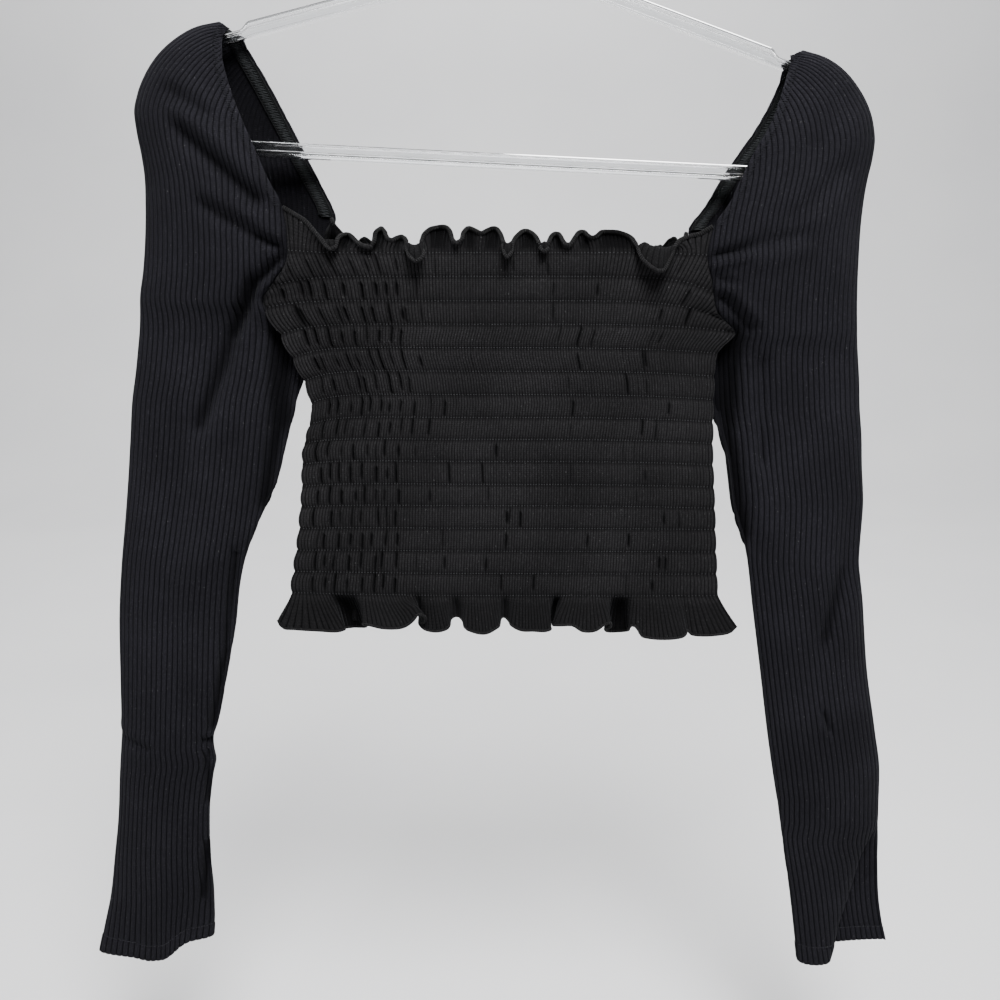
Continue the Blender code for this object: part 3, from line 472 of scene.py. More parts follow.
def shell(name, outer, inner, index, knit, look):
    """A closed thin shell from two grids. index gives each place's vertex, so cut-off columns share one."""
    used, compact = np.unique(index, return_inverse=True)
    compact = compact.reshape(index.shape)
    count = len(used)
    corners = np.stack([compact[:-1, :-1], compact[:-1, 1:], compact[1:, 1:], compact[1:, :-1]], -1)
    faces = []
    for quad in corners.reshape(-1, 4).tolist():
        face = [v for place, v in enumerate(quad) if v != quad[place - 1]]
        if len(set(face)) == len(face) and len(face) > 2:
            faces.append(face)
    directed = {(face[i - 1], face[i]) for face in faces for i in range(len(face))}
    inside = [[v + count for v in reversed(face)] for face in faces]
    walls = [[b, a, a + count, b + count] for a, b in sorted(directed) if (b, a) not in directed]
    points = np.concatenate([outer.reshape(-1, 3)[used], inner.reshape(-1, 3)[used]])
    right_side = knit.reshape(-1, 3)[used]
    # the inner side of the shell is painted darker, as painted shade inside the garment
    inside_with_painted_shade = right_side.copy()
    inside_with_painted_shade[:, 2] = np.maximum(inside_with_painted_shade[:, 2], INSIDE_PAINTED_SHADE)
    both = np.concatenate([right_side, inside_with_painted_shade])
    return mesh_object(name, points, faces + inside + walls, look, both)


def ring_faces(rings, sides, closed=False):
    """Quads from each ring of points to the next. A closed loop of rings has no end faces."""
    faces = []
    for ring in range(rings if closed else rings - 1):
        here, there = ring * sides, (ring + 1) % rings * sides
        for side in range(sides):
            after = (side + 1) % sides
            faces.append([here + side, here + after, there + after, there + side])
    if not closed:
        faces += [list(range(sides))[::-1], [(rings - 1) * sides + side for side in range(sides)]]
    return faces


SPINDLE_WAIST = 0.28            # a stitch is full between these shares of its length from its middle


def beads(name, centers, along, up, length, radius, look):
    """Short raised stitches as one mesh: each is a spindle with four sides."""
    along, up = unit(along), unit(up)
    across = unit(np.cross(along, up))
    up = np.cross(across, along)
    round_it = ((1, 0), (0, 1), (-1, 0), (0, -1))
    waists = [(end, c, u) for end in (-SPINDLE_WAIST, SPINDLE_WAIST) for c, u in round_it]
    shape = [(-0.5, 0, 0), *waists, (0.5, 0, 0)]
    local = np.array(shape)[None]
    points = (centers[:, None] + along[:, None] * (local[..., :1] * length)
              + across[:, None] * (local[..., 1:2] * radius) + up[:, None] * (local[..., 2:] * radius))
    one = [[0, 2, 1], [0, 3, 2], [0, 4, 3], [0, 1, 4]]
    one += [[1 + i, 1 + (i + 1) % 4, 5 + (i + 1) % 4, 5 + i] for i in range(4)]
    one += [[9, 5 + i, 5 + (i + 1) % 4] for i in range(4)]
    faces = [[v + len(shape) * n for v in face] for n in range(len(centers)) for face in one]
    return mesh_object(name, points.reshape(-1, 3), faces, look)


def cord(name, line, up, radius, look, sides=7, pitch=1.0, dark=0.0):
    """A rolled edge or wire along a line, closed at both ends."""
    tangent = unit(np.gradient(line, axis=0))
    across = unit(np.cross(tangent, up))
    up = np.cross(across, tangent)
    turn = np.linspace(0, 2 * math.pi, sides, endpoint=False)
    radius = np.broadcast_to(np.asarray(radius, float), (len(line),))[:, None, None]
    rings = (line[:, None] + across[:, None] * (np.cos(turn)[None, :, None] * radius)
             + up[:, None] * (np.sin(turn)[None, :, None] * radius))
    # dark is painted shade along the line
    dark = np.broadcast_to(np.asarray(dark, float), (len(line),))[:, None]
    turns = np.arange(sides)[None, :] / sides
    knit = np.stack(np.broadcast_arrays(turns, lengths_along(line)[:, None] / pitch, dark), -1)
    return mesh_object(name, rings.reshape(-1, 3), ring_faces(len(line), sides), look, knit.reshape(-1, 3))


# ---------------------------------------------------------------- sleeves
def base_rings(side):
    """Each ring as points from its front inner edge over the outer fold to its back inner edge."""
    rings = []
    for ring in SLEEVE_TUBE[side]:
        turn = np.linspace(0.0, 2 * math.pi, 2 * RING_HALF + 1)
        reach = (1 - np.cos(turn)) / 2
        x = ring.inner_x + (ring.outer_x - ring.inner_x) * reach
        z = ring.inner_z + (ring.outer_z - ring.inner_z) * reach
        y = ring.behind * (1 - reach) ** TUCK_POWER - ring.half_depth * np.sin(turn)
        rings.append(np.stack([x, y, z], -1))
    for ring in SLEEVE_HEAD[side]:
        start = math.asin(ring.edge_y / ring.half_depth)
        turn = start + (math.pi - start) * np.linspace(0.0, 1.0, RING_HALF + 1)
        reach = 1 - (1 + np.cos(turn)) / (1 + math.cos(start))
        depth = ring.half_depth * np.sin(turn)
        edges = ((ring.front_x, -depth, ring.front_z), (ring.back_x, depth, ring.back_z))
        front, back = (np.stack([x + (ring.outer_x - x) * reach, y, z + (ring.outer_z - z) * reach], -1)
                       for x, y, z in edges)
        rings.append(np.concatenate([front, back[-2::-1]]))
    return np.array(rings)


def crease(side, face, x, z):
    """How far the folds of one face push it in."""
    trough, ridge = np.zeros_like(x), np.zeros_like(x)
    for fold in SLEEVE_FOLDS[side, face]:
        run = np.array([fold.to_x - fold.from_x, fold.to_z - fold.from_z], float)
        length = np.linalg.norm(run)
        run /= length
        off_x, off_z = x - fold.from_x, z - fold.from_z
        share = off_x * run[0] + off_z * run[1]
        beyond = np.maximum(np.maximum(-share, share - length), 0.0)
        normal = np.array([-run[1], run[0]])
        normal *= fold.ridge_side * (1 if normal[0] > 0 or (normal[0] == 0 and normal[1] > 0) else -1)
        aside = (off_x * normal[0] + off_z * normal[1]) / fold.half_width
        fade = bell(beyond / (FOLD_FADE * fold.half_width))
        trough = np.maximum(trough, fade * fold.depth * bell(aside))
        ridge = np.maximum(ridge, fade * fold.ridge * bell((aside - RIDGE_AWAY) / RIDGE_WIDTH))
    return trough - ridge


def turned_layer(ring, turn_back):
    """The front layer of one turned ring: over to the slanting fold, back behind it and out to the edge."""
    inner, outer = ring[0], ring[RING_HALF]
    middle_z = (inner[2] + outer[2]) / 2
    drop = outer[2] - inner[2]
    fold_x = np.interp(middle_z, [t.z for t in CUFF_TURN], [t.fold_x for t in CUFF_TURN])
    depth = np.interp(middle_z, *zip(*TURN_DEPTH))
    a = np.linspace(0.0, 1.0, 40)
    swing = (1 - np.cos(math.pi * a)) / 2
    over = [inner[0] + (fold_x - inner[0]) * swing, -depth * np.sin(math.pi * a) ** 0.85, inner[2] + 0 * a]
    behind = [fold_x - turn_back * swing, TURN_BEHIND * a, inner[2] + drop * TURN_DROP * swing]
    out = [fold_x - turn_back + (outer[0] - fold_x + turn_back) * swing,
           TURN_BEHIND * np.cos(math.pi * a / 2) ** 2 + TURN_BULGE * np.sin(math.pi * a),
           inner[2] + drop * (TURN_DROP + (1 - TURN_DROP) * swing)]
    over, behind, out = (np.stack(part, -1) for part in (over, behind, out))
    return even_steps(np.concatenate([over, behind[1:], out[1:]]), RING_HALF + 1)


def turned_cuff(points):
    """The right cuff is twisted. Each ring keeps its length, so the surplus runs back behind the fold."""
    points = points.copy()
    low = np.flatnonzero(points[:, RING_HALF // 2, 2] < TURN_START_Z)
    _, length = even_steps(points[low[-1] + 1, :RING_HALF + 1], RING_HALF + 1)
    for row in low:
        ring = points[row].copy()
        few, many = 0.0, MOST_TURN_BACK
        for _ in range(14):
            turn_back = (few + many) / 2
            layer, its_length = turned_layer(ring, turn_back)
            few, many = (turn_back, many) if its_length < length else (few, turn_back)
        plain, _ = even_steps(ring[:RING_HALF + 1], RING_HALF + 1)
        strength = ease(-TURN_START_Z, -TURN_FULL_Z, -ring[RING_HALF // 2, 2])
        front = plain + (layer - plain) * strength
        inner_z, outer_z = ring[0, 2], ring[RING_HALF, 2]
        level_z = inner_z + (outer_z - inner_z) * ease(*TURN_LEVEL, ring[RING_HALF:, 0] - ring[0, 0])
        points[row, :RING_HALF + 1] = front
        points[row, RING_HALF:, 2] += (level_z - points[row, RING_HALF:, 2]) * strength
    return points


def drawn_cuff(points, places):
    """The left cuff's edge and what it does to the cloth above it."""
    x = points[:, :, 0]
    wanted = smooth([e.x for e in LEFT_CUFF_EDGE], [e.z for e in LEFT_CUFF_EDGE],
                    np.clip(x, LEFT_CUFF_EDGE[0].x, LEFT_CUFF_EDGE[-1].x).ravel()).reshape(x.shape)
    first, last = points[0, RING_HALF], points[0, 0]
    plain = first[2] + (last[2] - first[2]) * (x - first[0]) / (last[0] - first[0])
    low = ease(*DRAWN_HEIGHT, places)[:, None]
    is_front = (np.arange(points.shape[1]) <= RING_HALF)[None, :]
    drawn = points.copy()
    drawn[:, :, 2] += (wanted - plain) * low * np.where(is_front, 1.0, DRAWN_BACK)
    drawn[:, :, 1] -= np.where(is_front, CUFF_BULGE, 0.0) * bell((x - CUFF_BULGE_X) / CUFF_BULGE_WIDTH) * low
    return drawn


def rib_valley(phase):
    """1 in the valley between two ribs and 0 on a rib."""
    return bell((phase - np.floor(phase) - 0.5) / VALLEY_WIDTH)


def rib_crown(phase):
    """0 on a rib's crest and rising to 1 at its valley."""
    away = 0.5 - np.abs(phase - np.floor(phase) - 0.5)
    return (away / 0.5) ** 2


def sleeve_places(rings):
    """How far up the sleeve its rings are, and the places of the mesh rows between them."""
    outer, inner = (np.linalg.norm(np.diff(rings[:, column], axis=0), axis=1) for column in (RING_HALF, 0))
    knots = np.concatenate([[0.0], np.cumsum((outer + inner) / 2)])
    steps = [np.linspace(a, b, max(2, math.ceil((b - a) / ROW_STEP)), endpoint=False)
             for a, b in zip(knots, knots[1:])]
    at_hem = [CUFF_HEM - HEM_ROWS, CUFF_HEM, CUFF_HEM + HEM_ROWS]
    return knots, np.sort(np.concatenate([*steps, knots[-1:], at_hem]))


# One face of a sleeve from its outer fold to its inner edge: its points, normals, distances from
# the fold on the uncreased cloth, and how far the creases push it in, all row by row.
SleeveFace = namedtuple("SleeveFace", "line normals lengths push")


def sleeve_surface(side):
    """The sleeve's middle surface with its creases and cuff."""
    rings = base_rings(side)
    knots, places = sleeve_places(rings)
    tubes = len(SLEEVE_TUBE[side])
    closed = places <= knots[tubes - 1] + 1e-6
    plain = smooth(knots, rings, places)
    x, z = plain[:, :, 0], plain[:, :, 2]
    is_front = (np.arange(2 * RING_HALF + 1) <= RING_HALF)[None, :]
    soft = sum(np.sin(z / wave.length + x / wave.width + wave.shift) for wave in SOFT_WAVES)
    push = np.where(is_front, crease(side, "front", x, z), crease(side, "back", x, z)) + SOFT_HEIGHT * soft
    half = ease(0.0, 0.20, np.sin(np.linspace(0.0, math.pi, RING_HALF + 1)))    # 0 at the folds of the tube
    creased = plain.copy()
    creased[:, :, 1] += np.where(is_front, push, -push) * np.concatenate([half, half[-2::-1]])[None, :]
    if side == "right":
        plain, creased = turned_cuff(plain), turned_cuff(creased)
    else:
        plain, creased = drawn_cuff(plain, places), drawn_cuff(creased, places)
    normals = grid_normals(creased)
    joined = unit(normals[:, 0] + normals[:, -1])
    normals[closed, 0] = joined[closed]
    normals[closed, -1] = joined[closed]
    if np.median(normals[:tubes * 3, RING_HALF // 2, 1]) > 0:
        normals = -normals
    faces = []
    for part in (slice(RING_HALF, None, -1), slice(RING_HALF, None)):
        lengths = np.array([lengths_along(line) for line in plain[:, part]])
        faces.append(SleeveFace(creased[:, part], normals[:, part], lengths, push[:, part]))
    return {"places": places, "closed": closed, "surface": creased, "faces": dict(zip(FACES, faces)),
            "underarm": knots[tubes - 1], "corner": knots[tubes + NECK_CORNER]}


RibGrid = namedtuple("RibGrid", "middle normal away dent edge index")


def sleeve_ribs(sleeve):
    """The surface again in columns that follow the ribs. A column that meets the inner edge ends there."""
    closed, faces = sleeve["closed"], sleeve["faces"]
    widest = int(np.argmax(np.where(closed, faces["front"].lengths[:, -1], 0.0)))
    ribs = math.ceil(max(face.lengths.max() for face in faces.values()) / SLEEVE_RIB) + 1
    columns = (np.arange(ribs)[:, None] + np.array(RIB_SAMPLES)).ravel() * SLEEVE_RIB
    columns = np.concatenate([[0.0], columns])
    rows, count = len(closed), len(columns)
    middle, normal = (np.zeros((rows, 2 * count - 1, 3)) for _ in range(2))
    away, dent, edge = (np.zeros((rows, 2 * count - 1)) for _ in range(3))
    index = np.arange(rows * (2 * count - 1)).reshape(rows, -1)
    ends = {}
    for face, order in (("front", slice(count - 1, None, -1)), ("back", slice(count - 1, None))):
        line, line_normals, lengths, push = faces[face]
        full = lengths[:, -1]
        spread = np.ones(rows)
        spread[:widest + 1] = full[:widest + 1] / np.minimum.accumulate(full[:widest + 1][::-1])[::-1]
        ends[face] = []
        for row in range(rows):
            wanted = np.minimum(columns * spread[row], full[row])
            middle[row, order] = along_line(wanted, lengths[row], line[row])
            normal[row, order] = along_line(wanted, lengths[row], line_normals[row])
            away[row, order] = wanted / spread[row]
            dent[row, order] = np.interp(wanted, lengths[row], push[row])
            edge[row, order] = full[row] - wanted
            last = int(np.argmax(wanted >= full[row] - 0.2))
            cut = index[row, order]
            cut[last:] = cut[last]
            index[row, order] = cut
            ends[face].append(int(cut[last]))
    for row in np.flatnonzero(closed):
        index[row][index[row] == ends["back"][row]] = ends["front"][row]
    # the end vertices stand exactly on the edge
    for face in FACES:
        middle.reshape(-1, 3)[ends[face]] = faces[face].line[:, -1]
        normal.reshape(-1, 3)[ends[face]] = faces[face].normals[:, -1]
        edge.reshape(-1)[ends[face]] = 0.0
    return RibGrid(middle, unit(normal), away, dent, edge, index)


def build_sleeve(side, look):
    """The sleeve's shell and, for the pieces on it, its surface and its outer points."""
    sleeve = sleeve_surface(side)
    middle, normal, away, dent, edge, index = sleeve_ribs(sleeve)
    places = sleeve["places"][:, None]
    phase = away / SLEEVE_RIB
    valley = rib_valley(phase)
    at_neck = ease(sleeve["corner"] - 2.0, sleeve["corner"] + 2.0, places)
    neck_hem = ease(NECK_HEM + HEM_STEP, NECK_HEM - HEM_STEP, edge) * at_neck
    neck_line = bell((edge - NECK_HEM) / STITCH_LINE_WIDTH) * at_neck
    cuff_hem = ease(CUFF_HEM + HEM_STEP, CUFF_HEM - HEM_STEP, places)
    cuff_line = bell((places - CUFF_HEM) / STITCH_LINE_WIDTH)
    seam = bell(edge / STITCH_LINE_WIDTH) * (1 - at_neck)
    depth = RIB_DEPTH * (1 - NECK_HEM_FLAT * neck_hem) * (1 - CUFF_HEM_FLAT * cuff_hem)
    relief = NECK_HEM_RISE * neck_hem + CUFF_HEM_RISE * cuff_hem
    relief -= depth * valley + RIB_ROUNDING * rib_crown(phase)
    relief -= CUFF_LINE_DEPTH * cuff_line + NECK_LINE_DEPTH * neck_line + SEAM_DEPTH * seam
    outer = middle + normal * (CLOTH / 2 + relief)[..., None]
    inner = middle - normal * (CLOTH / 2 + 0.4 * valley + 0.2 * neck_hem)[..., None]
    fold = phase.shape[1] // 2
    side_sign = np.where(np.arange(phase.shape[1]) < fold, -1.0, 1.0)[None, :]
    # painted shade in the rib valleys and in deep fold troughs, and the darker line along the seam
    dark = darken(np.maximum(valley, SEAM_DARK * seam), FOLD_PAINTED_SHADE * ease(*FOLD_PAINTED_SHADE_DEPTH, dent))
    knit = np.stack(np.broadcast_arrays(phase * side_sign, places / SLEEVE_RIB, dark), -1)
    piece = shell(f"ribbed_sleeve_{side}", outer, inner, index, knit, look)
    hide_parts(f"sleeve_{side}")
    return piece, {**sleeve, "outer": outer, "normal": normal, "index": index}


def armhole(side, face):
    """The sleeve's seam edge beside a panel, from the underarm up to the neck corner."""
    sleeve = sleeves[side]
    rows = (sleeve["places"] >= sleeve["underarm"] - 1e-6) & (sleeve["places"] <= sleeve["corner"] + 1e-6)
    return sleeve["surface"][rows, 0 if face == "front" else -1]


# ---------------------------------------------------------------- panels
OUTWARD = {"front": -1.0, "back": 1.0}
SIGN = {"left": -1.0, "right": 1.0}
LEVELS = np.concatenate([np.linspace(0, 1, RUFFLE_STEPS, endpoint=False),
                         np.linspace(1, LAST_ROW, (LAST_ROW - 1) * BAND_STEPS, endpoint=False),
                         np.linspace(LAST_ROW, LAST_ROW + 1, FLOUNCE_STEPS + 1)])
BAND = np.clip(np.floor(LEVELS).astype(int), 0, LAST_ROW)
SHIRRED = (LEVELS >= 1) & (LEVELS <= LAST_ROW)
# 0 on each shirring row, in the ruffle and in the flounce, and 1 midway between two rows
IN_BAND = np.clip(np.where(SHIRRED, np.sin(math.pi * (LEVELS - np.floor(LEVELS))), 0.0), 0.0, 1.0)
PHASE = (np.arange(PANEL_RIBS)[:, None] + np.array(PANEL_RIB_SAMPLES)[None, :]).ravel()
PHASE = np.concatenate([[0.0], PHASE, [PANEL_RIBS]])
SHARE = PHASE / PANEL_RIBS
FROM_MIDDLE = np.abs(2 * SHARE - 1)             # 0 at the panel's middle and 1 at its side edges
HALF_OF = {"left": SHARE < 0.5, "right": SHARE >= 0.5}
COLUMNS = len(PHASE)


def panel_end(side, face, z, seams):
    """Where a row of a panel ends at a height: on the armhole seam or on the side seam."""
    seam = seams[side, face]
    if z > UNDERARM_Z[side]:
        return np.array([np.interp(z, seam[:, 2], seam[:, 0]), abs(np.interp(z, seam[:, 2], seam[:, 1])), z])
    heights, places = zip(*sorted(SIDE_EDGE[side]))
    return np.array([np.interp(z, heights, places), EDGE_Y, z])


def panel_columns(ends, heights):
    """Where each row's ribs stand. They run straight down, spread at the hem and lean at the armholes."""
    centre = (ends["left"][:, 0] + ends["right"][:, 0]) / 2
    underarm = {side: int(np.argmin(np.abs(ends[side][:, 2] - UNDERARM_Z[side]))) for side in SIDES}
    lowest = max(underarm.values())
    centre[:lowest] = centre[lowest]
    x = np.zeros((len(LEVELS), COLUMNS))
    for side in SIDES:
        ref, slant, part, end_x = underarm[side], SEAM_SLANT[side], HALF_OF[side], ends[side][:, 0]
        spread = FROM_MIDDLE[part]
        narrow = np.abs(end_x[ref:] - centre[ref:]).min()
        lean = SIGN[side] * slant.lean * ease(slant.starts, slant.full, spread)
        whole = heights[0] - heights[ref]
        for row in range(len(LEVELS)):
            at = max(row, ref)
            flare = np.abs(end_x[at] - centre[at]) - narrow
            x[row, part] = centre[at] + SIGN[side] * (narrow * spread + flare * spread ** FLARE_POWER[side])
            if row < ref:
                x[row, part] += lean * whole * max((heights[row] - heights[ref]) / whole, 0.0) ** LEAN_POWER
    x = np.clip(x, ends["left"][:, :1], ends["right"][:, :1])
    for side in SIDES:
        part, below = HALF_OF[side], np.arange(len(LEVELS)) > underarm[side]
        scallop = SIGN[side] * SIDE_SCALLOP[side] * IN_BAND[below, None] ** 0.8 * FROM_MIDDLE[part] ** 9
        x[np.ix_(below, part)] += scallop
        ends[side][below, 0] = x[below, 0 if side == "left" else -1]
    return x


def panel_surface(face, seams):
    """The panel's shirred part as a grid of points, and the vertex of each place."""
    heights = smooth(np.arange(LAST_ROW + 2), np.array([NECK_ENDS[face], *ROWS[face], HEM_ENDS]), LEVELS)
    depths = np.interp(LEVELS, *zip(*PANEL_DEPTH))
    ends = {side: np.array([panel_end(side, face, h[place], seams) for h in heights])
            for side, place in (("left", 0), ("right", 2))}
    all_x = panel_columns(ends, heights[:, 1])
    middle = np.zeros((len(LEVELS), COLUMNS, 3))
    index = np.arange(len(LEVELS) * COLUMNS).reshape(len(LEVELS), COLUMNS)
    for row, level in enumerate(LEVELS):
        x, left, right = all_x[row], ends["left"][row], ends["right"][row]
        first = max(int(np.argmax(x > left[0] + 0.15)) - 1, 0)
        last = min(COLUMNS - int(np.argmax(x[::-1] < right[0] - 0.15)), COLUMNS - 1)
        x[:first + 1], x[last:] = left[0], right[0]
        index[row, :first] = index[row, first]
        index[row, last + 1:] = index[row, last]
        t = 2 * (x - left[0]) / (right[0] - left[0]) - 1
        end = np.where((t < 0)[:, None], left, right)
        power = [np.interp(level, *zip(*ROW_BEND[face, side])) for side in SIDES]
        bend = np.abs(t) ** np.where(t < 0, *power)
        bulge = (depths[row] - end[:, 1]) * (1 - np.abs(t) ** BULGE_POWER)
        middle[row, :, 0] = x
        middle[row, :, 1] = OUTWARD[face] * (end[:, 1] + bulge)
        middle[row, :, 2] = heights[row, 1] + (end[:, 2] - heights[row, 1]) * bend
    # columns that a seam cut off stay cut off in the ruffle
    for row in range(RUFFLE_STEPS):
        index[row] = index[RUFFLE_STEPS] - (RUFFLE_STEPS - row) * COLUMNS
    return middle, index


def back_rim(edge):
    """Flutes for a free edge of the back, where the photo doesn't show it."""
    draw = np.random.default_rng(edge.seed)
    places = np.cumsum(draw.uniform(*FLUTE_PITCH, 60))
    places = places[places < edge.right - edge.left - FLUTES_STOP]
    end_z = edge.row_z + edge.up * edge.reach * 0.95
    stations = [Rim(edge.left - edge.spread, end_z, 0.0, edge.left)]
    for number, place in enumerate(places):
        out = number % 2 == 1
        root = edge.left + place
        drop = edge.reach * draw.uniform(*(FLUTE_CURLED if out and edge.up > 0 else FLUTE_PLAIN))
        forward = draw.uniform(*FLUTE_AHEAD) if out else -draw.uniform(*FLUTE_BEHIND)
        if edge.up < 0:
            forward *= HEM_FLUTES
        rim_x, rim_z = root + draw.uniform(-1.0, 1.0), edge.row_z + edge.up * (edge.reach - drop)
        stations.append(Rim(rim_x, rim_z, forward, root))
    return stations + [Rim(edge.right + edge.spread, end_z, 0.0, edge.right)]


def hang_free_edge(face, which, middle, recess):
    """Puts the ruffle or the flounce between its row and its rim, and tells how far forward the rim is."""
    is_neck = which == "neck"
    rows = range(RUFFLE_STEPS, -1, -1) if is_neck else range(len(LEVELS) - FLOUNCE_STEPS - 1, len(LEVELS))
    rim = back_rim(BACK_EDGE[which]) if face == "back" else NECK_RIM if is_neck else HEM_RIM
    root = middle[rows[0]].copy()
    roots = [r.root_x for r in rim]
    at = np.clip(root[:, 0], roots[0], roots[-1])
    edge = smooth(roots, [[r.x, r.z, r.forward] for r in rim], at, round_turns=True)
    if face == "back" and is_neck:          # the back's neck edge follows its sagging first row
        edge[:, 1] += root[:, 2] - BACK_EDGE["neck"].row_z
    forward = edge[:, 2] * np.where(edge[:, 2] < 0, BEHIND_SHARE[which], AHEAD_SHARE)
    forward = forward * (1 - FROM_MIDDLE ** 10)
    target = np.stack([edge[:, 0], root[:, 1] + OUTWARD[face] * forward, edge[:, 1]], -1)
    fan = target[:, 0] - root[:, 0]
    behind, ahead = np.minimum(forward, 0.0), np.maximum(forward, 0.0)
    steep = (np.full(COLUMNS, -FLOUNCE_DROP),) * 2
    if is_neck:
        curl = ease(*CURL_AHEAD, forward)
        steep = (RUFFLE_RISE + RUFFLE_LEAN * ahead, RUFFLE_TOP * (1 - curl) - RUFFLE_CURL * curl)
    leave, arrive = (
        np.stack([way.fan * fan, OUTWARD[face] * (way.ahead * ahead + way.behind * behind), rise], -1)
        for way, rise in zip((LEAVE[which], ARRIVE[which]), steep))
    for number, row in enumerate(rows):
        v = number / (len(rows) - 1)
        # how far back between lobes the cloth lies, which gets painted shade
        recess[row] = ease(*RECESS[which], forward) * ease(0.0, 0.2, v)
        middle[row] = hermite(v, root, leave, target, arrive)
    return forward


def gather_slots(face):
    """Deep narrow gathers between two rows, dense on the viewer's left as in the photo."""
    draw = np.random.default_rng(3 if face == "front" else 4)
    depth = np.zeros((len(LEVELS), COLUMNS))
    height = LEVELS - np.floor(LEVELS)
    for number in range(1, LAST_ROW):
        if face == "front":
            dense = DENSE_START + DENSE_PITCH * np.arange(9 if number < 9 else 8)
            dense = dense + draw.uniform(-DENSE_JITTER, DENSE_JITTER, len(dense))
            right = 2 if number in RIGHT_PAIRS else 1
            places = [dense, draw.uniform(*LOOSE_GATHERS), draw.uniform(*RIGHT_GATHERS, right)]
            places = np.concatenate(places)
        else:
            places = draw.uniform(*BACK_GATHERS)
        for place in places:
            rib = np.floor(place * PANEL_RIBS) + 0.5
            size = draw.uniform(*(DENSE_DEPTH if place < DENSE_STOP else LOOSE_DEPTH))
            size *= FIRST_BAND if number == 1 else 1.0
            width = draw.uniform(*GATHER_WIDTH)
            bow = draw.uniform(*GATHER_BOW)
            start, stop = draw.uniform(*GATHER_STARTS), draw.uniform(*GATHER_STOPS)
            shape = ease(start, start + GATHER_FADE, height) * ease(stop, stop - GATHER_FADE, height)
            shape = shape * (BAND == number)
            away = np.abs(PHASE[None, :] - (rib + bow * (height - 0.5))[:, None]) / width
            depth += (size * bell(away) - LIP * bell((away - LIP_AWAY) / LIP_WIDTH)) * shape[:, None]
    return depth


def build_panel(face, seams, look):
    """One panel's shell with ruffle, shirred bands and flounce."""
    middle, index = panel_surface(face, seams)
    recess = np.zeros(middle.shape[:2])
    rim_forward = {which: hang_free_edge(face, which, middle, recess) for which in ("neck", "hem")}
    normal = grid_normals(middle)
    if np.median(normal[40:90, COLUMNS // 3:2 * COLUMNS // 3, 1]) * OUTWARD[face] < 0:
        normal = -normal

    valley = rib_valley(PHASE)[None, :]
    in_band = IN_BAND[:, None]
    puffs = np.array([wave_noise(COLUMNS, 40 + b, shortest=0.02) for b in range(17)])
    puff = (PUFF + PUFF_VARIES * puffs)[BAND] * in_band ** 0.7
    gathers = np.array([wave_noise(COLUMNS, 80 + b, waves=60, longest=0.06, shortest=0.012)
                        for b in range(18)])
    slots = gather_slots(face)
    uneven = np.random.default_rng(61).normal(0.0, RIB_UNEVEN, (18, PANEL_RIBS + 2))
    uneven = uneven[BAND][:, np.floor(PHASE + 0.5).astype(int)] * (0.3 + 0.7 * in_band ** 0.5)
    strong = np.where(SHIRRED[:, None], 0.55 + 0.45 * in_band ** 0.5, FREE_RIB_DEPTH)
    at_a_row = (LEVELS > 0.5) & (LEVELS < LAST_ROW + 0.5)
    row_groove = (bell((LEVELS - np.round(LEVELS)) / ROW_GROOVE_WIDTH) * at_a_row)[:, None]
    relief = puff + RIPPLE * in_band ** 0.6 * gathers[BAND] - slots + uneven * (1 - valley)
    relief -= (PANEL_RIB_DEPTH * valley + PANEL_RIB_ROUNDING * rib_crown(PHASE)[None, :]) * strong
    relief -= ROW_GROOVE * row_groove
    outer = middle + normal * (CLOTH / 2 + relief)[..., None]
    inner = middle + normal * (0.9 * (puff - 0.8 * slots) - CLOTH / 2 - 0.3 * valley)[..., None]
    flounce = ease(LAST_ROW, LAST_ROW + 0.3, LEVELS)[:, None]
    # painted shade in rib valleys, deep gathers, recesses, shirring grooves and over the flounce
    dark = darken(np.clip(valley + slots / SLOT_PAINTED_SHADE_DEPTH, 0.0, 1.0), RECESS_PAINTED_SHADE * recess,
                  ROW_PAINTED_SHADE * row_groove, FLOUNCE_DARK * flounce)
    along = LEVELS[:, None] * BAND_HEIGHT / SLEEVE_RIB
    knit = np.stack(np.broadcast_arrays(PHASE[None, :], along, dark), -1)
    piece = shell(f"shirred_{face}", outer, inner, index, knit, look)
    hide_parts(f"{face}_panel")
    return piece, {"outer": outer, "middle": middle, "normal": normal, "index": index,
                   "rim_forward": rim_forward}


# ---------------------------------------------------------------- materials
def new_material(name):
    made = bpy.data.materials.new(name)
    made.use_nodes = True
    return made, made.node_tree, made.node_tree.nodes["Principled BSDF"]


def put(tree, node, values):
    """Sets a node's inputs, by name or number, to constants or to other nodes' outputs."""
    for name, value in values.items():
        if isinstance(value, bpy.types.NodeSocket):
            tree.links.new(value, node.inputs[name])
        else:
            node.inputs[name].default_value = value


def add(tree, kind, values, **settings):
    node = tree.nodes.new(f"ShaderNode{kind}")
    for key, value in settings.items():
        setattr(node, key, value)
    put(tree, node, values)
    return node


def math_node(tree, operation, *values):
    return add(tree, "Math", dict(enumerate(values)), operation=operation).outputs[0]


def mix(tree, first, second, factor=1.0, blend="MIX"):
    values = {"Factor": factor, "A": first, "B": second}
    return add(tree, "Mix", values, data_type="RGBA", blend_type=blend).outputs["Result"]


def noise(tree, scale, detail=3.0):
    place = add(tree, "TexCoord", {}).outputs["Object"]
    return add(tree, "TexNoise", {"Vector": place, "Scale": scale, "Detail": detail}).outputs["Fac"]


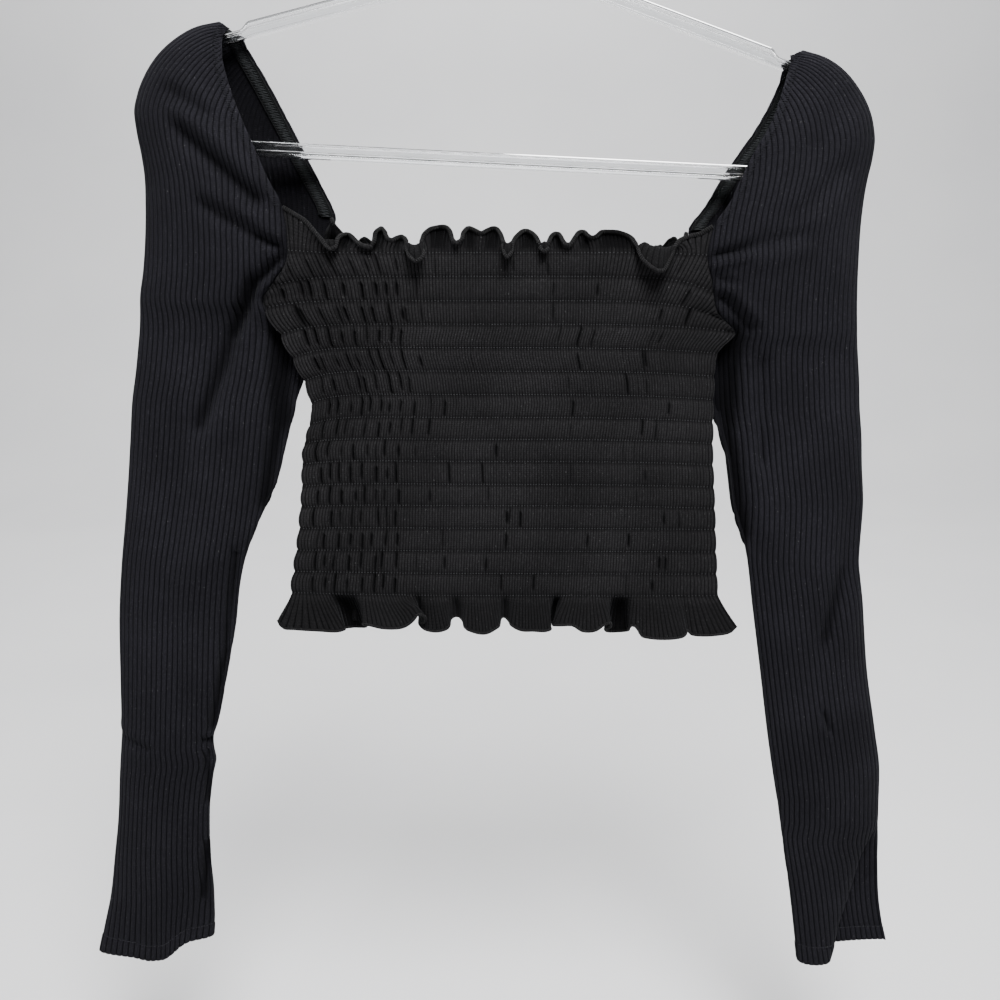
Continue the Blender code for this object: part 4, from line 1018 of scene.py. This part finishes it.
def mottled(tree, scale, detail, stops):
    """Colours that follow a noise. stops are places on its scale and their colours, or greys."""
    node = add(tree, "ValToRGB", {"Fac": noise(tree, scale, detail)})
    while len(node.color_ramp.elements) < len(stops):
        node.color_ramp.elements.new(0.5)
    for element, (place, color) in zip(node.color_ramp.elements, stops):
        element.position = place
        element.color = (*(color if isinstance(color, tuple) else (color,) * 3), 1.0)
    return node.outputs["Color"]


def bump(tree, strength, distance, height):
    values = {"Strength": strength, "Distance": distance, "Height": height}
    return add(tree, "Bump", values).outputs["Normal"]


def uneven_roughness(tree, scale, detail, smoothest, roughest):
    values = {"Value": noise(tree, scale, detail), "To Min": smoothest, "To Max": roughest}
    return add(tree, "MapRange", values).outputs["Result"]


def knit_vector(tree):
    """What each vertex of the cloth carries: its place across the ribs and along them, and its darkness,
    mostly painted shade.
    """
    own = add(tree, "Attribute", {}, attribute_name="knit").outputs["Vector"]
    return add(tree, "SeparateXYZ", {0: own}).outputs


def tint(color, share):
    return tuple(share * c for c in color)


STITCHES = 2.8                  # knitted stitches along a rib for each rib's width


def knit_material(name, crest, valley):
    """Rib knit: painted shade in valleys and recesses, small stitches along each rib, fuzz, lint and slow
    changes of colour.
    """
    made, tree, shader = new_material(name)
    across, along, darkness = knit_vector(tree)
    yarn = mottled(tree, 22.0, 4.0, [(0.35, tint(crest, 0.82)), (0.7, tint(crest, 1.15))])
    fuzz = mottled(tree, 900.0, 2.0, [(0.4, 0.72), (0.62, 1.0), (0.8, 1.75)])
    lint = mottled(tree, 1150.0, 0.0, [(0.5, 0.0), (0.80, 0.0), (0.90, 0.05)])
    cloth = mix(tree, mix(tree, yarn, fuzz, blend="MULTIPLY"), lint, blend="ADD")
    # stitches: a small V for each loop, mirrored about the middle of its column
    slant = math_node(tree, "PINGPONG", math_node(tree, "MULTIPLY", across, 2.0), 0.5)
    course = math_node(tree, "ADD", math_node(tree, "MULTIPLY", along, STITCHES),
                       math_node(tree, "MULTIPLY", slant, 0.9))
    wave = math_node(tree, "SINE", math_node(tree, "MULTIPLY", course, 2 * math.pi))
    height = math_node(tree, "ADD", math_node(tree, "MULTIPLY", wave, 0.5),
                       math_node(tree, "MULTIPLY", noise(tree, 1600.0, 2.0), 1.4))
    # the valley colour is painted shade, mixed in by each vertex's darkness
    put(tree, shader, {
        "Base Color": mix(tree, cloth, (*valley, 1.0), math_node(tree, "POWER", darkness, 0.8)),
        "Normal": bump(tree, 0.6, 0.00025, height), "Roughness": 0.88, "Specular IOR Level": 0.03,
        "Sheen Weight": 0.02, "Sheen Roughness": 0.45, "Sheen Tint": (0.75, 0.76, 0.82, 1.0)})
    return made


def thread_material(name, color, twist_bump=0.6):
    """Sewing and overlock thread: twisted, a little uneven in colour."""
    made, tree, shader = new_material(name)
    across, along, darkness = knit_vector(tree)
    yarn = mottled(tree, 700.0, 2.0, [(0.3, tint(color, 0.6)), (0.7, tint(color, 1.35))])
    turns = math_node(tree, "ADD", along, across)
    twist = math_node(tree, "SINE", math_node(tree, "MULTIPLY", turns, 2 * math.pi))
    height = math_node(tree, "ADD", twist, noise(tree, 1500.0, 1.0))
    # darkness from a cord or strip is painted shade
    put(tree, shader, {
        "Base Color": mix(tree, yarn, (*tint(color, 0.12), 1.0), darkness),
        "Normal": bump(tree, twist_bump, 0.0003, height), "Roughness": 0.8,
        "Sheen Weight": 0.02, "Specular IOR Level": 0.04})
    return made


def plastic_material():
    """Clear moulded plastic with faint flow marks and fine scratches."""
    made, tree, shader = new_material("clear_moulded_plastic")
    put(tree, shader, {
        "Base Color": mottled(tree, 40.0, 3.0, [(0.3, (0.84, 0.86, 0.87)), (0.7, (0.93, 0.94, 0.95))]),
        "Roughness": uneven_roughness(tree, 200.0, 4.0, 0.02, 0.14),
        "Normal": bump(tree, 0.10, 0.0002, noise(tree, 60.0, 2.0)),
        "Transmission Weight": 1.0, "IOR": 1.42})
    return made


def steel_material():
    """Bright drawn wire with fine lines and a few dull patches."""
    made, tree, shader = new_material("hook_wire")
    put(tree, shader, {
        "Base Color": mottled(tree, 120.0, 3.0, [(0.3, (0.55, 0.55, 0.56)), (0.7, (0.72, 0.72, 0.73))]),
        "Roughness": uneven_roughness(tree, 500.0, 3.0, 0.16, 0.36), "Metallic": 1.0})
    return made


# ---------------------------------------------------------------- the cloth
# each knit's second colour is the painted shade of its valleys, folds and recesses
sleeve_knit = knit_material("sleeve_rib_knit", (0.0106, 0.0103, 0.0130), (0.0008, 0.0008, 0.0011))
panel_knit = knit_material("panel_rib_knit", (0.0134, 0.0130, 0.0138), (0.0010, 0.0010, 0.0011))
shirring_look = thread_material("shirring_thread", (0.038, 0.038, 0.041))
serge_look = thread_material("overlock_thread", (0.0086, 0.0084, 0.0089), 1.0)
elastic_look = thread_material("neck_elastic_thread", (0.0135, 0.0145, 0.0155))
hem_thread_look = thread_material("hem_thread", (0.021, 0.021, 0.024))
plastic_look = plastic_material()
steel_look = steel_material()
band_look = thread_material("neck_band_thread", (0.0085, 0.0085, 0.0105))
zigzag_look = thread_material("neck_zigzag_thread", (0.0160, 0.0172, 0.0182))

sleeves, sleeve_pieces = {}, {}
for side in SIDES:
    sleeve_pieces[side], sleeves[side] = build_sleeve(side, sleeve_knit)
seams = {(side, face): armhole(side, face) for side in SIDES for face in FACES}
panels, panel_pieces = {}, {}
for face in FACES:
    panel_pieces[face], panels[face] = build_panel(face, seams, panel_knit)


# ---------------------------------------------------------------- threads, hems and elastics
THREAD_RADIUS = 0.19
THREAD_STITCH = 0.95
THREAD_LIFT = 0.10
THREAD_JITTER = 0.07
THREAD_SPAN = (0.4, 2.6)        # a rib whose valley is narrower or wider than this has no stitch
BAND_STITCH_LEAN = 0.7
HEM_STITCH_RADIUS = 0.24
HEM_STITCH_PITCH = 2.1
BAND_STITCH_FROM = 1.6          # the cover stitches reach from here nearly to the turned band's other edge
BAND_STITCH_PITCH = 1.25
OVERLOCK_RADIUS = {"neck": 1.35, "hem": 0.9}
ELASTIC_START = 0.8             # from the sleeve's back neck edge to the elastic
ELASTIC_WIDTH = 9.8
ELASTIC_THICK = 1.0
ELASTIC_CORDS = 9
ELASTIC_STEP = 0.8              # mesh rows along the elastic
ZIGZAG_PITCH = 0.85
ZIGZAG_LEAN = 0.9
ZIGZAG_RADIUS = 0.30
ZIGZAG_EDGES = (0.12, 0.88)     # the zigzag's sides as shares of the elastic's width


def live_columns(facts, row):
    """The columns of one row that no seam has cut off."""
    ids = facts["index"][row]
    return np.flatnonzero(ids == row * len(ids) + np.arange(len(ids)))


def shirring_thread(face):
    """The thread on each shirring row: one stitch on each rib."""
    panel = panels[face]
    outer = panel["outer"]
    step = len(PANEL_RIB_SAMPLES)
    before = np.arange(step, COLUMNS - step - 1, step)      # the last column of each rib but the last
    draw = np.random.default_rng(17)
    narrowest, widest = THREAD_SPAN
    centers, along, up = [], [], []
    for number in range(1, LAST_ROW + 1):
        row = int(np.argmin(np.abs(LEVELS - number)))
        live = before[np.isin([before, before + 1], live_columns(panel, row)).all(axis=0)]
        gap = np.linalg.norm(outer[row, live + 1] - outer[row, live], axis=1)
        live = live[(gap > narrowest) & (gap < widest)]
        left, right, normal = outer[row, live], outer[row, live + 1], panel["normal"][row, live]
        jitter = draw.normal(0.0, THREAD_JITTER, left.shape)
        centers.append((left + right) / 2 + normal * THREAD_LIFT + jitter)
        along.append((right - left) * (1.0, 1.0, 0.3))
        up.append(normal)
    centers, along, up = (np.concatenate(part) for part in (centers, along, up))
    return beads(f"shirring_thread_{face}", centers, along, up, THREAD_STITCH, THREAD_RADIUS, shirring_look)


def edge_roll(face, which):
    """The overlocked edge along a panel's first or last row."""
    panel = panels[face]
    row = 0 if which == "neck" else len(LEVELS) - 1
    live = live_columns(panel, row)
    apart = np.linalg.norm(np.diff(panel["middle"][row, live], axis=0), axis=1) > 0.12
    live = live[np.concatenate([[True], apart])]
    # the roll is painted darker where the rim lies back, as painted shade
    dark = 0.9 * ease(3.0, -3.5, panel["rim_forward"][which][live])
    return cord(f"{which}_overlock_{face}", panel["middle"][row, live], panel["normal"][row, live],
                OVERLOCK_RADIUS[which], serge_look, pitch=1.3, dark=dark)


extras = {face: [shirring_thread(face), edge_roll(face, "neck"), edge_roll(face, "hem")] for face in FACES}


def edge_line(side, face, distance, lift):
    """A line along a sleeve's neck edge, at a distance from it and lifted off the cloth, and its normals."""
    sleeve = sleeves[side]
    line, normals, lengths, _ = sleeve["faces"][face]
    points, ups = [], []
    for row in np.flatnonzero(sleeve["places"] >= sleeve["corner"] - 0.5):
        at = lengths[row, -1] - distance
        points.append(along_line(at, lengths[row], line[row]))
        ups.append(along_line(at, lengths[row], normals[row]))
    ups = unit(np.array(ups))
    return np.array(points) + ups * lift, ups


def spaced(lines, pitch):
    """Lines, each with its normals, again with points at an even pitch along the first of them."""
    lengths = lengths_along(lines[0][0])
    places = np.arange(pitch / 2, lengths[-1], pitch)
    return [tuple(along_line(places, lengths, values) for values in pair) for pair in lines]


def leaning_stitches(name, low, high, up, lean, radius, look):
    """Stitches between two lines, leaning one way and then the other."""
    turns = np.where(np.arange(len(low)) % 2, lean, -lean)[:, None]
    along = high - low + unit(np.gradient(low, axis=0)) * turns
    length = float(np.linalg.norm(along, axis=1).mean())
    return beads(name, (low + high) / 2, along, up, length, radius, look)


def band_stitches(side, face):
    """Cover stitches across the turned band at a sleeve's neck edge."""
    lines = [edge_line(side, face, distance, CLOTH / 2 + 0.30)
             for distance in (BAND_STITCH_FROM, NECK_HEM - 0.2)]
    (low, up), (high, _) = spaced(lines, BAND_STITCH_PITCH)
    name = f"neck_band_stitches_{side}_{face}"
    return leaning_stitches(name, low, high, up, BAND_STITCH_LEAN, HEM_STITCH_RADIUS, band_look)


def cuff_stitches(side):
    """A line of stitches round the cuff where its hem is turned."""
    sleeve = sleeves[side]
    row = int(np.argmin(np.abs(sleeve["places"] - CUFF_HEM)))
    live = live_columns(sleeve, row)
    (centers, up), = spaced([(sleeve["outer"][row, live], sleeve["normal"][row, live])], HEM_STITCH_PITCH)
    along = np.gradient(centers, axis=0)
    return beads(f"cuff_stitches_{side}", centers + unit(up) * 0.25, along, up, 1.6, HEM_STITCH_RADIUS,
                 hem_thread_look)


def neck_elastic(side):
    """The narrow elastic inside the back neck edge: a flat braid, its cords along it, and its zigzag."""
    shares = np.linspace(0.0, 1.0, ELASTIC_CORDS * 4 + 1)
    inset = -(CLOTH / 2 + 0.5)
    lines = [edge_line(side, "back", ELASTIC_START + share * ELASTIC_WIDTH, inset) for share in shares]
    lines = spaced(lines, ELASTIC_STEP)
    outer = np.stack([points for points, _ in lines], 1)
    up = unit(np.stack([normals for _, normals in lines], 1))
    places = np.arange(len(outer))[:, None] * ELASTIC_STEP
    phase = shares[None, :] * ELASTIC_CORDS + 0.5
    valley = np.abs(np.cos(math.pi * (phase - 0.5))) ** 6
    ripple = 0.12 * np.sin(places * 2 * math.pi / 1.6 + phase * math.pi)
    inner = outer - up * (ELASTIC_THICK + ripple - 0.35 * valley)[..., None]
    index = np.arange(places.size * phase.size).reshape(places.size, phase.size)
    # the valleys between the elastic's cords get painted shade
    knit = np.stack(np.broadcast_arrays(phase, places / 1.6, valley), -1)
    strip = shell(f"neck_elastic_strip_{side}", outer, inner, index, knit, elastic_look)
    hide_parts(f"neck_elastic_{side}")
    lines = [edge_line(side, "back", ELASTIC_START + share * ELASTIC_WIDTH, inset - ELASTIC_THICK - 0.1)
             for share in ZIGZAG_EDGES]
    (low, face), (high, _) = spaced(lines, ZIGZAG_PITCH)
    name = f"neck_elastic_zigzag_{side}"
    zigzag = leaning_stitches(name, low, high, -face, ZIGZAG_LEAN, ZIGZAG_RADIUS, zigzag_look)
    return [strip, zigzag]


for side in SIDES:
    stitched = [band_stitches(side, "front"), band_stitches(side, "back"), cuff_stitches(side)]
    stitched + neck_elastic(side)

# ---------------------------------------------------------------- hanger
HANGER_WIDTH = 427.0
HANGER_TILT = math.radians(2.75)
HANGER_BAR = 8.8
ARM_SLOPE = math.radians(16.5)
ARM_STRAIGHT = 160.0            # the arms are straight up to this far from the middle
ARM_END_RADIUS = 46.0
BAR_END_RADIUS = 14.0
BAR_STRAIGHT = 180.0
APEX_Z = -69.5
BAR_DROP = 110.5
FLANGE = 1.5                    # height of the two edges that run along the hanger
FLANGE_DEPTH = 6.0
WEB = 1.7
RIDGE_AT = 0.22                 # the moulded line on the web, as a share of the bar's half height
RIDGE_HEIGHT = 0.8
HUB_RADIUS = 6.0
HUB_BOTTOM = -72.0
HUB_TOP = -56.2
HOOK_WIRE = 3.2
HOOK_RADIUS = 17.0
HOOK_BOTTOM = -64.8             # the wire starts inside the hub
HOOK_BEND_DROP = 10.896         # height of the S bend that leads the stem into the crown's circle
HOOK_TIP_ANGLE = math.radians(215)
HOOK_SWING = math.radians(55)   # where the S bend of the stem meets the crown's circle
HOOK_TIP = (1.35, 0.55)         # radii of the wire's last two rings, which round its tip
NOTCH = (150.0, 156.0, 186.0, 192.0)    # the arms are lower between these distances from the middle
NOTCH_DEPTH = 3.2
NOTCH_THIN = 0.35               # how much thinner the hanger is there


def arc(x, z, radius, first, last, steps):
    return [(x + radius * math.cos(a), z + radius * math.sin(a)) for a in np.linspace(first, last, steps + 1)]


def hanger_middle():
    """The loop that the hanger's bar follows, from the top middle over the viewer's right."""
    reach = HANGER_WIDTH / 2 - HANGER_BAR / 2
    bend = math.pi / 2 - ARM_SLOPE
    shoulder_x = reach - ARM_END_RADIUS
    shoulder_z = -reach * math.tan(ARM_SLOPE) - ARM_END_RADIUS * math.tan(bend / 2)
    right = [(x, -x * math.tan(ARM_SLOPE)) for x in np.linspace(0.0, ARM_STRAIGHT, 81)]
    right += arc(shoulder_x, shoulder_z, ARM_END_RADIUS, bend, 0.0, 18)
    right += arc(reach - BAR_END_RADIUS, -BAR_DROP + BAR_END_RADIUS, BAR_END_RADIUS, 0.0, -math.pi / 2, 12)
    right += [(x, -BAR_DROP) for x in np.linspace(BAR_STRAIGHT, 0.0, 31)]
    return np.array(right + [(-x, z) for x, z in right[-2:0:-1]])


def hanger_section():
    """The moulded section: two edges joined by a thin web with a raised line. u is outward, y is depth."""
    half, deep, web = HANGER_BAR / 2, FLANGE_DEPTH / 2, WEB / 2
    ridge = RIDGE_AT * half
    edge = [(half, 0.0), (half, deep - 0.5), (half - 0.5, deep), (half - FLANGE + 0.2, deep),
            (half - FLANGE, deep - 0.4), (half - FLANGE - 0.5, web)]
    line = [(0.9, web), (0.35, web + RIDGE_HEIGHT), (-0.35, web + RIDGE_HEIGHT), (-0.9, web)]
    side = edge + [(ridge + u, y) for u, y in line] + [(-u, y) for u, y in edge[::-1]]
    return side + [(u, -y) for u, y in side[-2:0:-1]]


def build_hanger():
    """The moulded hanger: its section swept round the loop, lower in the notches, and tilted as it hangs."""
    loop, section = hanger_middle(), np.array(hanger_section())
    tangent = unit(np.roll(loop, -1, axis=0) - np.roll(loop, 1, axis=0))
    outward = np.stack([-tangent[:, 1], tangent[:, 0]], -1)
    is_arm = loop[:, 1] > -BAR_DROP / 2 - 20.0
    distance = np.abs(loop[:, 0])
    low = ease(NOTCH[0], NOTCH[1], distance) * ease(NOTCH[3], NOTCH[2], distance) * is_arm
    top = np.clip(section[:, 0] / HANGER_BAR + 0.5, 0, 1) ** 1.5        # the notch is cut from the outer edge
    points = np.zeros((len(loop), len(section), 3))
    for place in range(len(loop)):
        u = section[:, 0] - top * low[place] * NOTCH_DEPTH
        points[place, :, 0] = loop[place, 0] + outward[place, 0] * u
        points[place, :, 2] = loop[place, 1] + outward[place, 1] * u
        points[place, :, 1] = section[:, 1] * (1 - NOTCH_THIN * low[place])
    points = points.reshape(-1, 3)
    cos, sin = math.cos(HANGER_TILT), math.sin(HANGER_TILT)
    points[:, [0, 2]] = points[:, [0, 2]] @ np.array([[cos, -sin], [sin, cos]])
    points[:, 2] += APEX_Z
    faces = ring_faces(len(loop), len(section), closed=True)
    piece = mesh_object("clear_hanger", points, faces, plastic_look, smooth_shading=False)
    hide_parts("hanger_frame")


def build_hub(sides=32):
    """The round hub that holds the wire, on the Z axis."""
    profile = [(4.6, HUB_BOTTOM), (5.6, HUB_BOTTOM + 0.9), (HUB_RADIUS, HUB_BOTTOM + 2.2),
               (HUB_RADIUS, HUB_TOP - 3.2), (5.2, HUB_TOP - 1.2), (3.2, HUB_TOP - 0.2),
               (1.75, HUB_TOP), (1.72, HUB_TOP - 8.6)]
    turn = np.linspace(0, 2 * math.pi, sides, endpoint=False)
    points = [(r * math.cos(a), r * math.sin(a), z) for r, z in profile for a in turn]
    piece = mesh_object("hanger_hub", points, ring_faces(len(profile), sides), plastic_look)


def build_hook():
    """The wire: a straight stem, a bend out to the side, the crown and a rounded tip."""
    middle = HOOK_RADIUS + HOOK_WIRE / 2
    meet = (middle * math.cos(HOOK_SWING), -HOOK_RADIUS - middle * math.sin(HOOK_SWING))
    stem_top = meet[1] - HOOK_BEND_DROP
    route = [(0.0, z) for z in np.linspace(HOOK_BOTTOM, stem_top - 1.0, 6)]
    route += [(meet[0] * t * t, stem_top + HOOK_BEND_DROP * (2 * t - t * t)) for t in np.linspace(0, 1, 9)]
    route += arc(0.0, -HOOK_RADIUS, middle, -HOOK_SWING, HOOK_TIP_ANGLE, 44)[1:]
    line = np.array([(x, 0.0, z) for x, z in route])
    radius = np.full(len(line), HOOK_WIRE / 2)
    radius[-2:] = HOOK_TIP
    piece = cord("hook_wire_bent", line, np.array([0.0, 1.0, 0.0]), radius, steel_look, sides=20)
    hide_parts("hanger_hook")


build_hanger()
build_hub()
build_hook()

# ---------------------------------------------------------------- camera, light and stage, in metres
CAMERA_PITCH = math.radians(12.22)
FLOOR_Z = -0.86
FLOOR_START_Y = -4.0
WALL_Y = 3.2
WALL_TOP_Z = 4.0
COVE = 1.2                      # radius of the curve between floor and wall
HALF_WIDTH = 5.0


def link(thing):
    bpy.context.scene.collection.objects.link(thing)
    return thing


def build_camera():
    data = bpy.data.cameras.new("camera")
    data.lens = 38.99
    data.sensor_width = 36.0
    camera = link(bpy.data.objects.new("camera", data))
    camera.location = (-0.00807, -0.6703, -0.240)
    camera.rotation_euler = (math.pi / 2 - CAMERA_PITCH, 0.0, 0.0)
    bpy.context.scene.camera = camera


def build_studio():
    """A pale floor that curves up into a wall."""
    profile = [(FLOOR_START_Y, FLOOR_Z), (WALL_Y - COVE, FLOOR_Z)]
    profile += [(WALL_Y - COVE + COVE * math.sin(a), FLOOR_Z + COVE - COVE * math.cos(a))
                for a in np.linspace(0.1, math.pi / 2, 14)]
    profile += [(WALL_Y, WALL_TOP_Z)]
    sweep = [(x, y, z) for x in (-HALF_WIDTH, HALF_WIDTH) for y, z in profile]
    half = len(profile)
    mesh = bpy.data.meshes.new("studio")
    mesh.from_pydata(sweep, [], [[i, i + 1, half + i + 1, half + i] for i in range(half - 1)])
    mesh.shade_smooth()
    look, tree, shader = new_material("pale_studio")
    paint = mottled(tree, 3.0, 2.0, [(0.3, (0.60, 0.60, 0.61)), (0.7, (0.63, 0.63, 0.635))])
    put(tree, shader, {"Base Color": paint, "Roughness": 0.95})
    mesh.materials.append(look)
    link(bpy.data.objects.new("studio", mesh))


def area_light(name, place, target, size, power):
    data = bpy.data.lights.new(name, "AREA")
    data.shape = "DISK"
    data.size = size
    data.energy = power
    lamp = link(bpy.data.objects.new(name, data))
    lamp.location = place
    lamp.rotation_euler = (Vector(target) - Vector(place)).to_track_quat("-Z", "Y").to_euler()


def build_sky():
    world = bpy.data.worlds.new("soft_sky")
    world.use_nodes = True
    world.node_tree.nodes["Background"].inputs["Color"].default_value = (0.9, 0.92, 0.95, 1.0)
    world.node_tree.nodes["Background"].inputs["Strength"].default_value = 0.30
    bpy.context.scene.world = world


build_camera()
build_studio()
area_light("key", (0.15, -1.0, 0.80), (0.0, 0.0, -0.30), 0.7, 70.0)
area_light("fill", (-1.5, -1.2, 0.2), (0.0, 0.0, -0.4), 1.4, 10.0)
area_light("backdrop", (0.0, 1.4, 2.6), (0.0, 3.0, 0.2), 2.4, 175.0)
area_light("rim", (0.4, 0.5, 1.3), (0.0, 0.0, -0.3), 1.0, 18.0)
build_sky()
